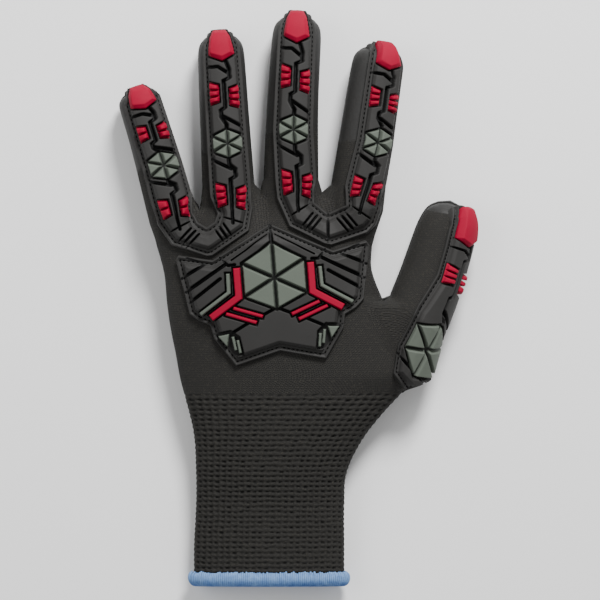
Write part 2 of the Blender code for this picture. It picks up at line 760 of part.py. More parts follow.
def laid(name, mesh, lines, drape, ray, finish):
    """A flat mesh bent over the knit as a piece of its own."""
    bm = creased(mesh, lines)
    for vertex in bm.verts:
        height = vertex.co.z
        flat = Vector((vertex.co.x, vertex.co.y, 0))
        origin, direction, lean = ray(flat)
        vertex.co = drape.lay(origin, direction, lean, height)
    mesh = bpy.data.meshes.new(name)
    bm.to_mesh(mesh)
    bm.free()
    part = bpy.data.objects.new(name, mesh)
    bpy.context.collection.objects.link(part)
    mesh.materials.append(finish)
    return part


def strip_lines(strip):
    """Bend lines of a finger's strip: along it, and across it."""
    length = strip.lower + strip.upper
    lines = [(strip.point(0, strip.far(along)), strip.along, CREASE_WIDTH) for along in CREASE_ROWS]
    lines += [(strip.point(u * BODY_HALF, length / 2), strip.across, length * 0.55) for u in CREASE_COLUMNS]
    return lines


def bridge_lines(bridge):
    """Bend lines of the bridge between two fingers."""
    points = [place(*point) for point in bridge.outer]
    middle = sum(points, Vector()) / len(points)
    spread = FLANGE_HALF * 2
    lines = [(middle + Vector((x * spread, spread / 2, 0)), Vector((1, 0, 0)), spread)
             for x in (-0.75, -0.5, -0.25, 0, 0.25, 0.5, 0.75)]
    return lines + [(middle + Vector((0, y * spread, 0)), Vector((0, 1, 0)), spread) for y in (0.1, 0.4, 0.7)]


def hexagon_outline(strip):
    centre = strip.flat(0, HEXAGON_AT)
    return [centre + strip.across * x * HEXAGON_HALF_WIDTH + strip.along * y * HEXAGON_HALF_HEIGHT
            for x, y in ((0, 1), (1, 0.55), (1, -0.55), (0, -1), (-1, -0.55), (-1, 0.55))]


def strip_cutters(strip):
    grooves = [CENTRE_GROOVE, *CROSS_GROOVES]
    cutters = [ribbon([strip.flat(*pair) for pair in groove], GROOVE) for groove in grooves]
    cutters.append(grown(hexagon_outline(strip), POCKET_GAP))
    cutters.append(grown(cap_pocket(strip), POCKET_GAP))
    for cluster in CLUSTERS:
        cutters.append(grown(cluster_outline(strip, cluster), POCKET_GAP))
    return cutters


def cap_pocket(strip):
    return [strip.flat(*pair) for pair in CAP_POCKET]


def cluster_outline(strip, cluster):
    side, start, end = cluster.side, cluster.start, cluster.end
    return [strip.flat(side * RIDGE_INNER, start + RIDGE_SLANT), strip.flat(side * RIDGE_INNER, end),
            strip.flat(side * RIDGE_OUTER, end - RIDGE_SLANT), strip.flat(side * RIDGE_OUTER, start)]


def body_outline(strip, start, end):
    return [strip.flat(-1, start), strip.flat(1, start), strip.flat(1, end), strip.flat(-1, end)]


# Bridges between two fingers' guards, seen from above. Points are shares of PALM_WIDTH and GLOVE_LENGTH.
Bridge = namedtuple("Bridge", "name fingers outer inner blocks bars")
BRIDGES = (
    Bridge("guard_little_ring", ("little", "ring"),
           ((-0.578, 0.592), (-0.416, 0.572), (-0.390, 0.573), (-0.222, 0.617)),
           ((-0.370, 0.646), (-0.384, 0.632), (-0.418, 0.623), (-0.456, 0.632), (-0.476, 0.648)),
           (((-0.584, 0.615), (-0.500, 0.632), (-0.487, 0.622), (-0.551, 0.599)),
            ((-0.334, 0.640), (-0.262, 0.632), (-0.296, 0.613), (-0.341, 0.629)),
            ((-0.484, 0.597), (-0.430, 0.617), (-0.392, 0.618), (-0.354, 0.602), (-0.416, 0.585))),
           (((-0.541, 0.594), (-0.480, 0.619)), ((-0.519, 0.590), (-0.459, 0.6145)),
            ((-0.370, 0.622), (-0.330, 0.601)), ((-0.349, 0.627), (-0.310, 0.606)))),
    Bridge("guard_middle_index", ("middle", "index"),
           ((-0.039, 0.624), (0.123, 0.594), (0.155, 0.592), (0.322, 0.613), (0.361, 0.628)),
           ((0.219, 0.661), (0.139, 0.648), (0.080, 0.666)),
           (((-0.019, 0.646), (0.052, 0.663), (0.070, 0.649), (0.024, 0.630)),
            ((0.256, 0.658), (0.329, 0.639), (0.286, 0.628), (0.246, 0.648)),
            ((0.076, 0.618), (0.123, 0.637), (0.137, 0.640), (0.166, 0.636), (0.214, 0.617), (0.141, 0.602))),
           (((0.034, 0.6245), (0.079, 0.6455)), ((0.053, 0.6195), (0.100, 0.6415)),
            ((0.188, 0.642), (0.240, 0.619)), ((0.211, 0.6465), (0.263, 0.6235)))),
)
BAR_WIDTH = 0.0014


def pair_ray(strips):
    """Rays of a guard over two fingers: each flat point follows the strip that it lies nearer to."""
    def ray(point):
        offs = [abs(strip.local(point)[0]) for strip in strips]
        return strips[offs.index(min(offs))].ray(point)
    return ray


def finger_pair_guard(bridge, drape, finishes):
    strips = [FingerStrip(finger) for finger in FINGERS if finger.name in bridge.fingers]
    left, right = strips
    half = FLANGE_HALF
    tip, corner = half * FLANGE_TIP, half * FLANGE_CORNER
    ends = [strip.far(1.0) for strip in strips]
    flange = [left.point(-tip, ends[0]), left.point(-half, ends[0] - corner)]
    flange += [left.point(-half, left.far(0.05))]
    flange += [place(*point) for point in bridge.outer]
    flange += [right.point(half, right.far(0.05)), right.point(half, ends[1] - corner)]
    flange += [right.point(tip, ends[1]), right.point(-tip, ends[1])]
    flange += [right.point(-half, ends[1] - corner), right.point(-half, right.far(0.12))]
    flange += [place(*point) for point in bridge.inner]
    flange += [left.point(half, left.far(0.12)), left.point(half, ends[0] - corner)]
    flange += [left.point(tip, ends[0])]
    raised = [body_outline(strip, 0.03, 0.86) for strip in strips]
    raised += [[place(*point) for point in block] for block in bridge.blocks]
    raised += [ribbon([place(*point) for point in bar], BAR_WIDTH) for bar in bridge.bars]
    cutters = [cutter for strip in strips for cutter in strip_cutters(strip)]
    lines = bridge_lines(bridge) + [line for strip in strips for line in strip_lines(strip)]
    ray = pair_ray(strips)
    laid(bridge.name, flat_guard(flange, raised, cutters), lines, drape, ray, finishes["black"])
    for strip in strips:
        finger_inserts(strip, drape, finishes)


def finger_inserts(strip, drape, finishes):
    name = strip.finger.name
    lines = strip_lines(strip)
    cap = solid_between([strip.flat(*pair) for pair in CAP_OUTLINE], CAP_BASE, CAP_HEIGHT)
    laid("cap_" + name, cap, lines, drape, strip.ray, finishes["red"])
    laid("hexagon_" + name, parted_hexagon(hexagon_outline(strip), GROOVE), lines, drape, strip.ray,
         finishes["grey"])
    for cluster in CLUSTERS:
        ridges(name + "_" + cluster.name, cluster_outline(strip, cluster), RIDGES[name], drape, strip.ray,
               finishes["red"])


def parted_hexagon(outline, groove):
    """Six faceted triangles on a common pad."""
    pad = solid_between(outline, INSERT_BASE, INSERT_BASE + PAD_THICKNESS)
    top = solid_between(outline, INSERT_BASE + PAD_THICKNESS / 2, BLOCK_HEIGHT)
    centre = sum(outline, Vector()) / len(outline)
    for corner in outline[:3]:
        reach = (corner - centre) * HEXAGON_CUT
        line = ribbon([centre - reach, centre + reach], groove)
        top = combined(top, solid_between(line, -BLOCK_HEIGHT, BLOCK_HEIGHT * 2), "DIFFERENCE")
    return combined(top, pad, "UNION")


def ridges(name, outline, count, drape, ray, finish):
    """A cluster of slanted ridges on a common pad."""
    pad = solid_between(outline, RIDGE_BASE, RIDGE_BASE + PAD_THICKNESS)
    inner_low, inner_high, outer_high, outer_low = outline
    parts = []
    for number in range(count):
        start, end = (number + 0.12) / count, (number + 0.88) / count
        corners = [inner_low.lerp(inner_high, start), inner_low.lerp(inner_high, end),
                   outer_low.lerp(outer_high, end), outer_low.lerp(outer_high, start)]
        corners = grown(corners, -RIDGE_INSET)
        parts.append(solid_between(corners, RIDGE_BASE + PAD_THICKNESS / 2, RIDGE_HEIGHT))
    laid("ridges_" + name, combined(joined(parts), pad, "UNION"), [], drape, ray, finish)


# Plate on the back of the hand. Points are shares of PLATE_WIDTH from its hexagon's centre, for one side;
# the other side mirrors them.
PLATE_WIDTH = 0.092
PLATE_CENTRE = (-0.107, 0.538)
PLATE_TURN = 4.65
PLATE_LEAN = 0.6
PLATE_OUTLINE = ((0.0, 0.263), (0.300, 0.106), (0.468, 0.144), (0.480, 0.120), (0.450, -0.054), (0.435, -0.152),
                 (0.391, -0.190), (0.337, -0.217), (0.324, -0.283), (0.225, -0.430), (0.0, -0.372))
PLATE_HEXAGON = ((0.0, 0.165), (0.154, 0.076), (0.154, -0.090), (0.0, -0.161))
PLATE_BLOCKS = (
    ((0.012, 0.212), (0.228, 0.074), (0.205, 0.055), (0.012, 0.178)),
    ((0.252, 0.030), (0.424, -0.076), (0.402, -0.118), (0.262, -0.028)),
    ((0.350, 0.036), (0.470, 0.068), (0.438, -0.026)),
    ((0.298, -0.190), (0.146, -0.238), (0.198, -0.274)),
    ((0.250, 0.085), (0.405, 0.125), (0.440, 0.105), (0.330, 0.070), (0.262, 0.062)),
)
PLATE_CHIN = ((0.0, -0.180), (0.180, -0.275), (0.178, -0.372), (0.0, -0.330))
PLATE_BARS = (((0.165, -0.119), (0.030, -0.167)),)
PLATE_BAR_WIDTH = 0.0016
CHEVRON_RED = ((0.183, 0.058), (0.183, -0.088), (0.327, -0.180))
CHEVRON_RED_WIDTH = 0.0033
CHEVRON_GREY = ((0.227, 0.034), (0.230, -0.062), (0.376, -0.158))
CHEVRON_GREY_WIDTH = 0.0019
RED_BARS = (((0.215, -0.139), (0.070, -0.193)), ((0.253, -0.164), (0.103, -0.221)))
RED_BAR_WIDTH = 0.0018
CORNER_TRIANGLE = ((0.302, -0.272), (0.243, -0.264), (0.258, -0.330))
CORNER_BARS = (((0.228, -0.280), (0.217, -0.350)), ((0.205, -0.298), (0.196, -0.366)))
CORNER_BAR_WIDTH = 0.0011


def plate_point(x, y):
    turn = math.radians(PLATE_TURN)
    centre = place(*PLATE_CENTRE)
    across, along = x * PLATE_WIDTH, y * PLATE_WIDTH
    return centre + Vector((across * math.cos(turn) - along * math.sin(turn),
                            across * math.sin(turn) + along * math.cos(turn), 0))


def plate_side(points, side):
    """One side's points; the mirrored side is turned round to keep its order."""
    spots = [plate_point(x * side, y) for x, y in points]
    return spots if side > 0 else spots[::-1]


def plate_whole(points):
    """A closed outline whose first and last points lie on the middle line."""
    return plate_side(points, 1) + plate_side(points[1:-1], -1)


def plate_ray(point):
    return Vector((point.x, point.y, PALM_THICKNESS / 2)), Vector((0, 0, 1)), PLATE_LEAN


def plate_lines():
    across = plate_point(1, 0) - plate_point(0, 0)
    along = plate_point(0, 1) - plate_point(0, 0)
    lines = [(plate_point(x, 0), across) for x in (-0.43, -0.36, -0.27, -0.15, 0, 0.15, 0.27, 0.36, 0.43)]
    lines += [(plate_point(0, y), along) for y in (-0.33, -0.20, -0.05, 0.10, 0.19)]
    return [(point, normal, PLATE_WIDTH) for point, normal in lines]


def back_plate(drape, finishes):
    lines = plate_lines()
    raised = [plate_whole(PLATE_CHIN)]
    cutters = [grown(plate_whole(PLATE_HEXAGON), POCKET_GAP)]
    for side in (1, -1):
        raised += [plate_side(block, side) for block in PLATE_BLOCKS]
        raised += [ribbon(plate_side(bar, side), PLATE_BAR_WIDTH) for bar in PLATE_BARS]
        cutters += [pocket(plate_side(bar, side), RED_BAR_WIDTH) for bar in RED_BARS]
        cutters += [pocket(plate_side(CHEVRON_RED, side), CHEVRON_RED_WIDTH)]
        cutters += [pocket(plate_side(CHEVRON_GREY, side), CHEVRON_GREY_WIDTH)]
    laid("guard_back", flat_guard(plate_whole(PLATE_OUTLINE), raised, cutters), lines, drape, plate_ray,
         finishes["black"])
    laid("hexagon_back", parted_hexagon(plate_whole(PLATE_HEXAGON), PLATE_GROOVE), lines, drape, plate_ray,
         finishes["grey"])
    for side, word in ((-1, "left"), (1, "right")):
        for colour, line, width in (("red", CHEVRON_RED, CHEVRON_RED_WIDTH),
                                    ("grey", CHEVRON_GREY, CHEVRON_GREY_WIDTH)):
            chevron = solid_between(ribbon(plate_side(line, side), width), INSERT_BASE, RIDGE_HEIGHT)
            laid("chevron_" + colour + "_" + word, chevron, lines, drape, plate_ray, finishes[colour])
        bars = [ribbon(plate_side(bar, side), RED_BAR_WIDTH) for bar in RED_BARS]
        padded("bars_" + word, bars, lines, drape, finishes["red"])
        corner = [plate_side(CORNER_TRIANGLE, side)]
        corner += [ribbon(plate_side(bar, side), CORNER_BAR_WIDTH) for bar in CORNER_BARS]
        padded("corner_" + word, corner, lines, drape, finishes["grey"])


def padded(name, outlines, lines, drape, finish):
    """Raised shapes of one colour on a thin pad that joins them."""
    points = [point for outline in outlines for point in outline]
    pad = solid_between(hull(points), INSERT_BASE, INSERT_BASE + PAD_THICKNESS)
    base = INSERT_BASE + PAD_THICKNESS / 2
    tops = joined([solid_between(outline, base, BLOCK_HEIGHT) for outline in outlines])
    laid(name, combined(tops, pad, "UNION"), lines, drape, plate_ray, finish)


def hull(points):
    """Outline of the smallest convex shape round flat points."""
    spots = sorted(points, key=lambda spot: (spot.x, spot.y))
    outline = []
    for run in (spots, spots[::-1]):
        start = len(outline)
        for spot in run:
            while len(outline) >= start + 2:
                first, second = outline[-2], outline[-1]
                if (second - first).cross(spot - first).z > 0:
                    break
                outline.pop()
            outline.append(spot)
        outline.pop()
    return outline


# Guard of the thumb. Its flat pattern is drawn across in shares of THUMB_WIDTH and along in shares of
# its length, from the wrist's end to the tip.
THUMB_GUARD_LENGTH = 0.089
Ray = namedtuple("Ray", "along x y z heading roll radius")
THUMB_RAYS = (
    Ray(0.00, 0.407, 0.379, 0.45, 40, 50, 0.64),
    Ray(0.22, 0.499, 0.443, 0.48, 45, 50, 0.60),
    Ray(0.40, 0.561, 0.494, 0.48, 55, 54, 0.54),
    Ray(0.55, 0.615, 0.542, 0.46, 66, 56, 0.50),
    Ray(0.75, 0.655, 0.592, 0.43, 73, 57, 0.48),
    Ray(0.88, 0.678, 0.622, 0.41, 76, 57, 0.46),
)
THUMB_DOME = 0.88
THUMB_OUTLINE = ((-0.30, 1.0), (-0.40, 0.92), (-0.40, 0.56), (-0.53, 0.38), (-0.56, 0.13), (-0.34, 0.01),
                 (0.20, 0.0), (0.48, 0.12), (0.48, 0.36), (0.38, 0.56), (0.38, 0.92), (0.28, 1.0))
THUMB_BODY = ((-0.26, 0.85), (-0.26, 0.56), (-0.42, 0.36), (-0.44, 0.14), (-0.26, 0.04), (0.14, 0.04),
              (0.38, 0.14), (0.38, 0.36), (0.26, 0.56), (0.26, 0.85))
THUMB_HEXAGON_AT = 0.225
THUMB_HEXAGON = ((0.0, 0.145), (0.36, 0.070), (0.36, -0.070), (0.0, -0.145), (-0.40, -0.070), (-0.40, 0.070))
THUMB_GROOVES = (
    ((0.04, 0.86), (0.10, 0.74), (0.10, 0.715), (0.0, 0.70), (0.0, 0.50), (-0.07, 0.485), (-0.07, 0.42),
     (0.02, 0.38), (0.02, 0.36)),
    ((-0.30, 0.765), (-0.06, 0.765), (0.08, 0.735)),
    ((-0.07, 0.43), (0.45, 0.33)),
    ((-0.50, 0.10), (0.45, 0.10)),
)
THUMB_CAP = ((-0.20, 1.0), (0.20, 1.0), (0.29, 0.83), (0.28, 0.80), (0.06, 0.795), (-0.10, 0.82), (-0.28, 0.82))
THUMB_CAP_POCKET = ((-0.5, 1.02), (0.5, 1.02), (0.5, 0.80), (0.06, 0.79), (-0.10, 0.815), (-0.5, 0.815))
THUMB_CLUSTERS = (("left", -1, 0.535, 0.655), ("right", 1, 0.515, 0.635))
THUMB_RIDGE_INNER = 0.09
THUMB_RIDGE_OUTER = 0.275


def thumb_flat(x, y):
    return Vector((x * THUMB_WIDTH, y * THUMB_GUARD_LENGTH, 0))


def thumb_ray(point):
    along = point.y / THUMB_GUARD_LENGTH
    x, y, z, heading, roll, radius = (
        float(np.interp(along, [row.along for row in THUMB_RAYS], [row[field] for row in THUMB_RAYS]))
        for field in range(1, len(Ray._fields)))
    ahead = Vector((math.cos(math.radians(heading)), math.sin(math.radians(heading)), 0))
    side = Vector((ahead.y, -ahead.x, 0))
    dome = max(along - THUMB_DOME, 0) / (1 - THUMB_DOME)
    middle = math.radians(roll)
    turn = middle + point.x / (radius * THUMB_WIDTH) * (1 - dome * DOME_BLUNT)
    tilt = math.radians(DOME_TILT) * dome
    up = Vector((0, 0, 1))
    direction = (side * math.sin(turn) + up * math.cos(turn)) * math.cos(tilt) + ahead * math.sin(tilt)
    shift = (side * math.cos(middle) - up * math.sin(middle)) * point.x * dome * DOME_BLUNT
    return place(x, y, z) + shift, direction, 0


def thumb_lines():
    lines = [(thumb_flat(x, 0), Vector((1, 0, 0))) for x in (-0.39, -0.26, -0.13, 0, 0.13, 0.26, 0.39)]
    lines += [(thumb_flat(0, y), Vector((0, 1, 0)))
              for y in (0.08, 0.15, 0.22, 0.30, 0.37, 0.45, 0.56, 0.68, 0.80, 0.87, 0.91, 0.955)]
    return [(point, normal, THUMB_GUARD_LENGTH * 2) for point, normal in lines]


def thumb_guard(drape, finishes):
    lines = thumb_lines()
    hexagon = [thumb_flat(x, THUMB_HEXAGON_AT + y) for x, y in THUMB_HEXAGON]
    clusters = {}
    for word, side, start, end in THUMB_CLUSTERS:
        clusters[word] = [thumb_flat(side * THUMB_RIDGE_INNER, start + RIDGE_SLANT),
                          thumb_flat(side * THUMB_RIDGE_INNER, end),
                          thumb_flat(side * THUMB_RIDGE_OUTER, end - RIDGE_SLANT),
                          thumb_flat(side * THUMB_RIDGE_OUTER, start)]
    cutters = [ribbon([thumb_flat(*pair) for pair in groove], GROOVE) for groove in THUMB_GROOVES]
    cutters += [grown(outline, POCKET_GAP) for outline in (hexagon, *clusters.values())]
    cutters.append([thumb_flat(*pair) for pair in THUMB_CAP_POCKET])
    raised = [[thumb_flat(*pair) for pair in THUMB_BODY]]
    flange = [thumb_flat(*pair) for pair in THUMB_OUTLINE]
    laid("guard_thumb", flat_guard(flange, raised, cutters), lines, drape, thumb_ray, finishes["black"])
    cap = solid_between([thumb_flat(*pair) for pair in THUMB_CAP], CAP_BASE, CAP_HEIGHT)
    laid("cap_thumb", cap, lines, drape, thumb_ray, finishes["red"])
    hexagon = grown(hexagon, -RIDGE_INSET)
    laid("hexagon_thumb", parted_hexagon(hexagon, GROOVE), lines, drape, thumb_ray, finishes["grey"])
    for word, outline in clusters.items():
        ridges("thumb_" + word, outline, 3, drape, thumb_ray, finishes["red"])


def knit_body():
    coarse = Skin(1)
    knit = finish_of("black knit", (0.035, 0.033, 0.031), 0.95)
    rib = finish_of("rib knit", (0.030, 0.028, 0.026), 0.95)
    coating = finish_of("palm rubber", (0.012, 0.012, 0.012), 0.7)
    thread = finish_of("overlock thread", (0.26, 0.45, 0.75), 0.9)
    skin_layer("knit_liner", coarse, lambda region, palmar: region not in ("cuff", "seam"),
               -KNIT_WALL, 0, KNIT_REST, knit)
    skin_layer("rib_cuff", coarse, lambda region, palmar: region == "cuff", -KNIT_WALL, 0, KNIT_REST, rib)
    skin_layer("palm_coating", coarse, lambda region, palmar: palmar and region not in ("cuff", "seam"),
               CLEARANCE, CLEARANCE + COATING_THICKNESS, 0, coating)
    hem(coarse, thread)
    return coarse


def guards(coarse):
    drape = Drape(coarse, Skin(SKIN_DETAIL))
    finishes = {
        "black": finish_of("black moulded rubber", (0.055, 0.053, 0.050), 0.55),
        "red": finish_of("red moulded rubber", (0.58, 0.005, 0.040), 0.5),
        "grey": finish_of("grey moulded rubber", (0.190, 0.220, 0.185), 0.55),
    }
    for bridge in BRIDGES:
        finger_pair_guard(bridge, drape, finishes)
    back_plate(drape, finishes)
    thumb_guard(drape, finishes)


def centre_on_origin():
    """Moves everything so that the origin lies under the middle of the glove."""
    meshes = [item.data for item in bpy.data.objects]
    spots = np.array([vertex.co for mesh in meshes for vertex in mesh.vertices])
    low, high = spots.min(axis=0), spots.max(axis=0)
    shift = Vector((-(low[0] + high[0]) / 2, -(low[1] + high[1]) / 2, -low[2]))
    for mesh in meshes:
        mesh.transform(Matrix.Translation(shift))


def main():
    for item in list(bpy.data.objects):
        bpy.data.objects.remove(item)
    guards(knit_body())
    centre_on_origin()


main()
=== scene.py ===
"""The looks of a knitted impact glove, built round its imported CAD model."""

import math
from collections import namedtuple

import bpy
import numpy as np
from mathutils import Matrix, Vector
from mathutils.bvhtree import BVHTree


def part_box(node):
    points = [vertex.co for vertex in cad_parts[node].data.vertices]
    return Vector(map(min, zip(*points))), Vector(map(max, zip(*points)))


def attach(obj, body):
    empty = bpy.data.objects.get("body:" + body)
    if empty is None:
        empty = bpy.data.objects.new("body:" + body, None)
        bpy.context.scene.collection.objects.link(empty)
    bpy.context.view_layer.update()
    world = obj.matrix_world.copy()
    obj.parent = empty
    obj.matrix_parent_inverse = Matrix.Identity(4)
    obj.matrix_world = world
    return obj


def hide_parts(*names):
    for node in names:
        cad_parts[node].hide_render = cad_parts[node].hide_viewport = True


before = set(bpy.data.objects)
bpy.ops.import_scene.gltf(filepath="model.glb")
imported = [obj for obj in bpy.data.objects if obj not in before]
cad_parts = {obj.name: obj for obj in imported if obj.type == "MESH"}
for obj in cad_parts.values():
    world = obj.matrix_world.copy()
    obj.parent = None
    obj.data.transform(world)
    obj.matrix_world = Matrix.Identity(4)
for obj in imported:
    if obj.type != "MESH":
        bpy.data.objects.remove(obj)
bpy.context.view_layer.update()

# Camera, light and floor
# The glove lies on a pale table and is seen from straight above through a long lens, fingers up, in
# soft even studio light.

CAMERA_HEIGHT = 2.4
VIEW_WIDTH = 0.276
VIEW_CENTRE = (0.0004, -0.0022)
# The height above the table at which the view is VIEW_WIDTH wide
VIEW_LEVEL = 0.02
FLOOR_HALF = 3
FLOOR_DROP = 0.0002

camera_data = bpy.data.cameras.new("camera")
camera = bpy.data.objects.new("camera", camera_data)
bpy.context.collection.objects.link(camera)
camera.location = (*VIEW_CENTRE, CAMERA_HEIGHT)
camera_data.sensor_width = 36
camera_data.lens = camera_data.sensor_width * (CAMERA_HEIGHT - VIEW_LEVEL) / VIEW_WIDTH
camera_data.clip_start = 0.1
bpy.context.scene.camera = camera


def area_light(name, place_at, size, power):
    """A round lamp aimed at the middle of the glove."""
    data = bpy.data.lights.new(name, "AREA")
    data.shape = "DISK"
    data.size = size
    data.energy = power
    light = bpy.data.objects.new(name, data)
    bpy.context.collection.objects.link(light)
    light.location = place_at
    light.rotation_euler = (-Vector(place_at)).to_track_quat("-Z", "Y").to_euler()


area_light("key light", (0.30, 0.95, 0.85), 0.40, 30)
area_light("fill light", (-0.9, 0.2, 1.1), 0.9, 5)

world = bpy.data.worlds.new("studio")
world.use_nodes = True
backdrop = world.node_tree.nodes["Background"]
backdrop.inputs["Color"].default_value = (1, 1, 1, 1)
backdrop.inputs["Strength"].default_value = 0.55
bpy.context.scene.world = world

floor_mesh = bpy.data.meshes.new("floor")
corners = [(x * FLOOR_HALF, y * FLOOR_HALF, 0) for x, y in ((-1, -1), (1, -1), (1, 1), (-1, 1))]
floor_mesh.from_pydata(corners, [], [(0, 1, 2, 3)])
floor = bpy.data.objects.new("floor", floor_mesh)
bpy.context.collection.objects.link(floor)
floor.location.z = -FLOOR_DROP
floor_finish = bpy.data.materials.new("floor")
floor_finish.use_nodes = True
floor_shader = floor_finish.node_tree.nodes["Principled BSDF"]
floor_shader.inputs["Base Color"].default_value = (0.9, 0.9, 0.9, 1)
floor_shader.inputs["Roughness"].default_value = 0.9
floor_mesh.materials.append(floor_finish)

# Knitted hand
# The seamless hand of the glove is machine knitted from thin black yarn in one piece, fingers and thumb
# included. Rows of stitches run across it and wales run up it into the fingers.

# Sizes in metres. Rows, fingers and the thumb are given as shares of the palm's width, the glove's length
# and the palm's thickness.
GLOVE_LENGTH = 0.265
PALM_WIDTH = 0.100
PALM_THICKNESS = 0.030
FINGER_WIDTH = 0.024
THUMB_WIDTH = 0.025
KNIT_WALL = 0.0013
COATING_THICKNESS = 0.0008
CLEARANCE = 0.0003
KNIT_REST = COATING_THICKNESS + CLEARANCE
COLUMNS = 36
TURN = 360 / COLUMNS
SQUARENESS = 2.4
PALM_SINK = 0.05
Row = namedtuple("Row", "name left_x left_y right_x right_y thickness")
ROWS = (
    Row("cuff end", -0.476, 0.006, 0.214, 0.006, 0.62),
    Row("cuff low", -0.476, 0.071, 0.214, 0.071, 0.63),
    Row("cuff middle", -0.467, 0.141, 0.214, 0.141, 0.65),
    Row("wrist", -0.467, 0.201, 0.228, 0.201, 0.72),
    Row("heel", -0.478, 0.267, 0.320, 0.267, 0.79),
    Row("rib line", -0.520, 0.333, 0.485, 0.338, 0.86),
    Row("thumb foot", -0.541, 0.363, 0.594, 0.368, 0.90),
    Row("thumb low", -0.561, 0.406, 0.525, 0.410, 0.94),
    Row("thumb high", -0.584, 0.450, 0.458, 0.451, 0.97),
    Row("thumb web", -0.600, 0.495, 0.393, 0.495, 0.99),
    Row("palm", -0.612, 0.545, 0.338, 0.549, 1.00),
    Row("knuckles", -0.646, 0.592, 0.340, 0.592, 1.00),
)
ROW_NAMES = [row.name for row in ROWS]
RIB_LINE = ROW_NAMES.index("rib line")
THUMB_FOOT = ROW_NAMES.index("thumb foot")
THUMB_WEB = ROW_NAMES.index("thumb web")
THUMB_COLUMNS = (14, 22)
Finger = namedtuple("Finger", "name first root middle tip root_width middle_width tip_width")
FINGERS = (
    Finger("little", 1, (-0.575, 0.642, 0.53), (-0.672, 0.774, 0.46), (-0.746, 0.860, 0.36),
           0.93, 0.85, 0.81),
    Finger("ring", 5, (-0.313, 0.660, 0.55), (-0.336, 0.809, 0.50), (-0.358, 0.958, 0.37),
           1.02, 0.95, 0.89),
    Finger("middle", 9, (-0.032, 0.665, 0.55), (-0.023, 0.835, 0.52), (0.002, 0.990, 0.38),
           1.08, 0.99, 0.94),
    Finger("index", 13, (0.267, 0.658, 0.54), (0.318, 0.795, 0.49), (0.375, 0.935, 0.38),
           1.07, 0.99, 0.95),
)
FINGER_HEIGHT = 0.88
# Share of a finger's length, and share of its width there
FINGER_STATIONS = ((0.16, 1.0), (0.36, 1.0), (0.56, 1.0), (0.74, 1.0), (0.88, 0.97), (0.95, 0.80),
                   (0.988, 0.48))
CROTCHES = ((-0.449, 0.650), (-0.172, 0.689), (0.113, 0.685))
CROTCH_CORNER = 30
CROTCH_BLEND = 0.35
HEADING_STEP = 0.02
Station = namedtuple("Station", "x y z heading width height")
THUMB = (
    Station(0.535, 0.473, 0.50, 52, 1.07, 1.00),
    Station(0.588, 0.524, 0.47, 64, 1.02, 0.94),
    Station(0.634, 0.576, 0.44, 70, 0.98, 0.88),
    Station(0.670, 0.622, 0.41, 75, 0.91, 0.82),
    Station(0.690, 0.650, 0.39, 77, 0.72, 0.66),
    Station(0.699, 0.662, 0.38, 78, 0.40, 0.38),
)
THUMB_TIP = Station(0.703, 0.667, 0.37, 78, 0.0, 0.0)
HEM_LOW, HEM_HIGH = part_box("cuff_hem")
SHIFT_X = (HEM_LOW[0] + HEM_HIGH[0]) / 2 - PALM_WIDTH * (ROWS[0].left_x + ROWS[0].right_x) / 2
SHIFT_Y = HEM_LOW[1]
STITCHES_PER_COLUMN = 6
STITCH_LENGTH = 0.00082
# Columns round a finger or the thumb
TUBE_COLUMNS = 12
SKIN_DETAIL = 4
# Share of each finger's length from which its back is coated too
COAT_FROM = {"little": 0.30, "ring": 0.30, "middle": 0.32, "index": 0.36, "thumb": 0.72}
COAT_BLEND = 0.10


def place(x, y, z=0.0):
    """A point from shares of the palm's width, the glove's length and the palm's thickness."""
    return Vector((x * PALM_WIDTH + SHIFT_X, y * GLOVE_LENGTH + SHIFT_Y, z * PALM_THICKNESS))


def smoothstep(value):
    """Eases from 0 to 1."""
    value = min(max(value, 0), 1)
    return value * value * (3 - 2 * value)


def spline(values, at):
    """Smooth curve through evenly numbered values, read at a fractional number."""
    first = min(int(at), len(values) - 2)
    rest = at - first
    before = values[max(first - 1, 0)]
    start, end = values[first], values[first + 1]
    after = values[min(first + 2, len(values) - 1)]
    slope_in = (end - before) * 0.5
    slope_out = (after - start) * 0.5
    cubed, squared = rest ** 3, rest ** 2
    return (start * (2 * cubed - 3 * squared + 1) + slope_in * (cubed - 2 * squared + rest)
            + end * (3 * squared - 2 * cubed) + slope_out * (cubed - squared))


def signed_power(value, power):
    """A power that keeps the value's sign, for squared-off ovals."""
    return math.copysign(abs(value) ** power, value)


def rest_on_table(point):
    """Cloth flattens where it lies."""
    point.z = max(point.z, KNIT_REST)
    return point


def palm_point(at, column):
    """A point of the knit's outer face on a row, which may be fractional, and a column."""
    left_x, left_y, right_x, right_y, thickness = (
        spline([row[field] for row in ROWS], at) for field in range(1, len(Row._fields)))
    turn = math.radians(180 - TURN * column)
    across = signed_power(math.cos(turn), 2 / SQUARENESS)
    rise = signed_power(math.sin(turn), 2 / SQUARENESS)
    half = thickness * PALM_THICKNESS / 2
    share = (across + 1) / 2
    point = place(left_x + (right_x - left_x) * share, left_y + (right_y - left_y) * share)
    point.z = KNIT_REST + half * (1 - PALM_SINK) + half * rise
    return rest_on_table(point)


def finger_line(finger):
    """Middle of a finger at its root, halfway and at its tip."""
    return [place(*point) for point in (finger.root, finger.middle, finger.tip)]


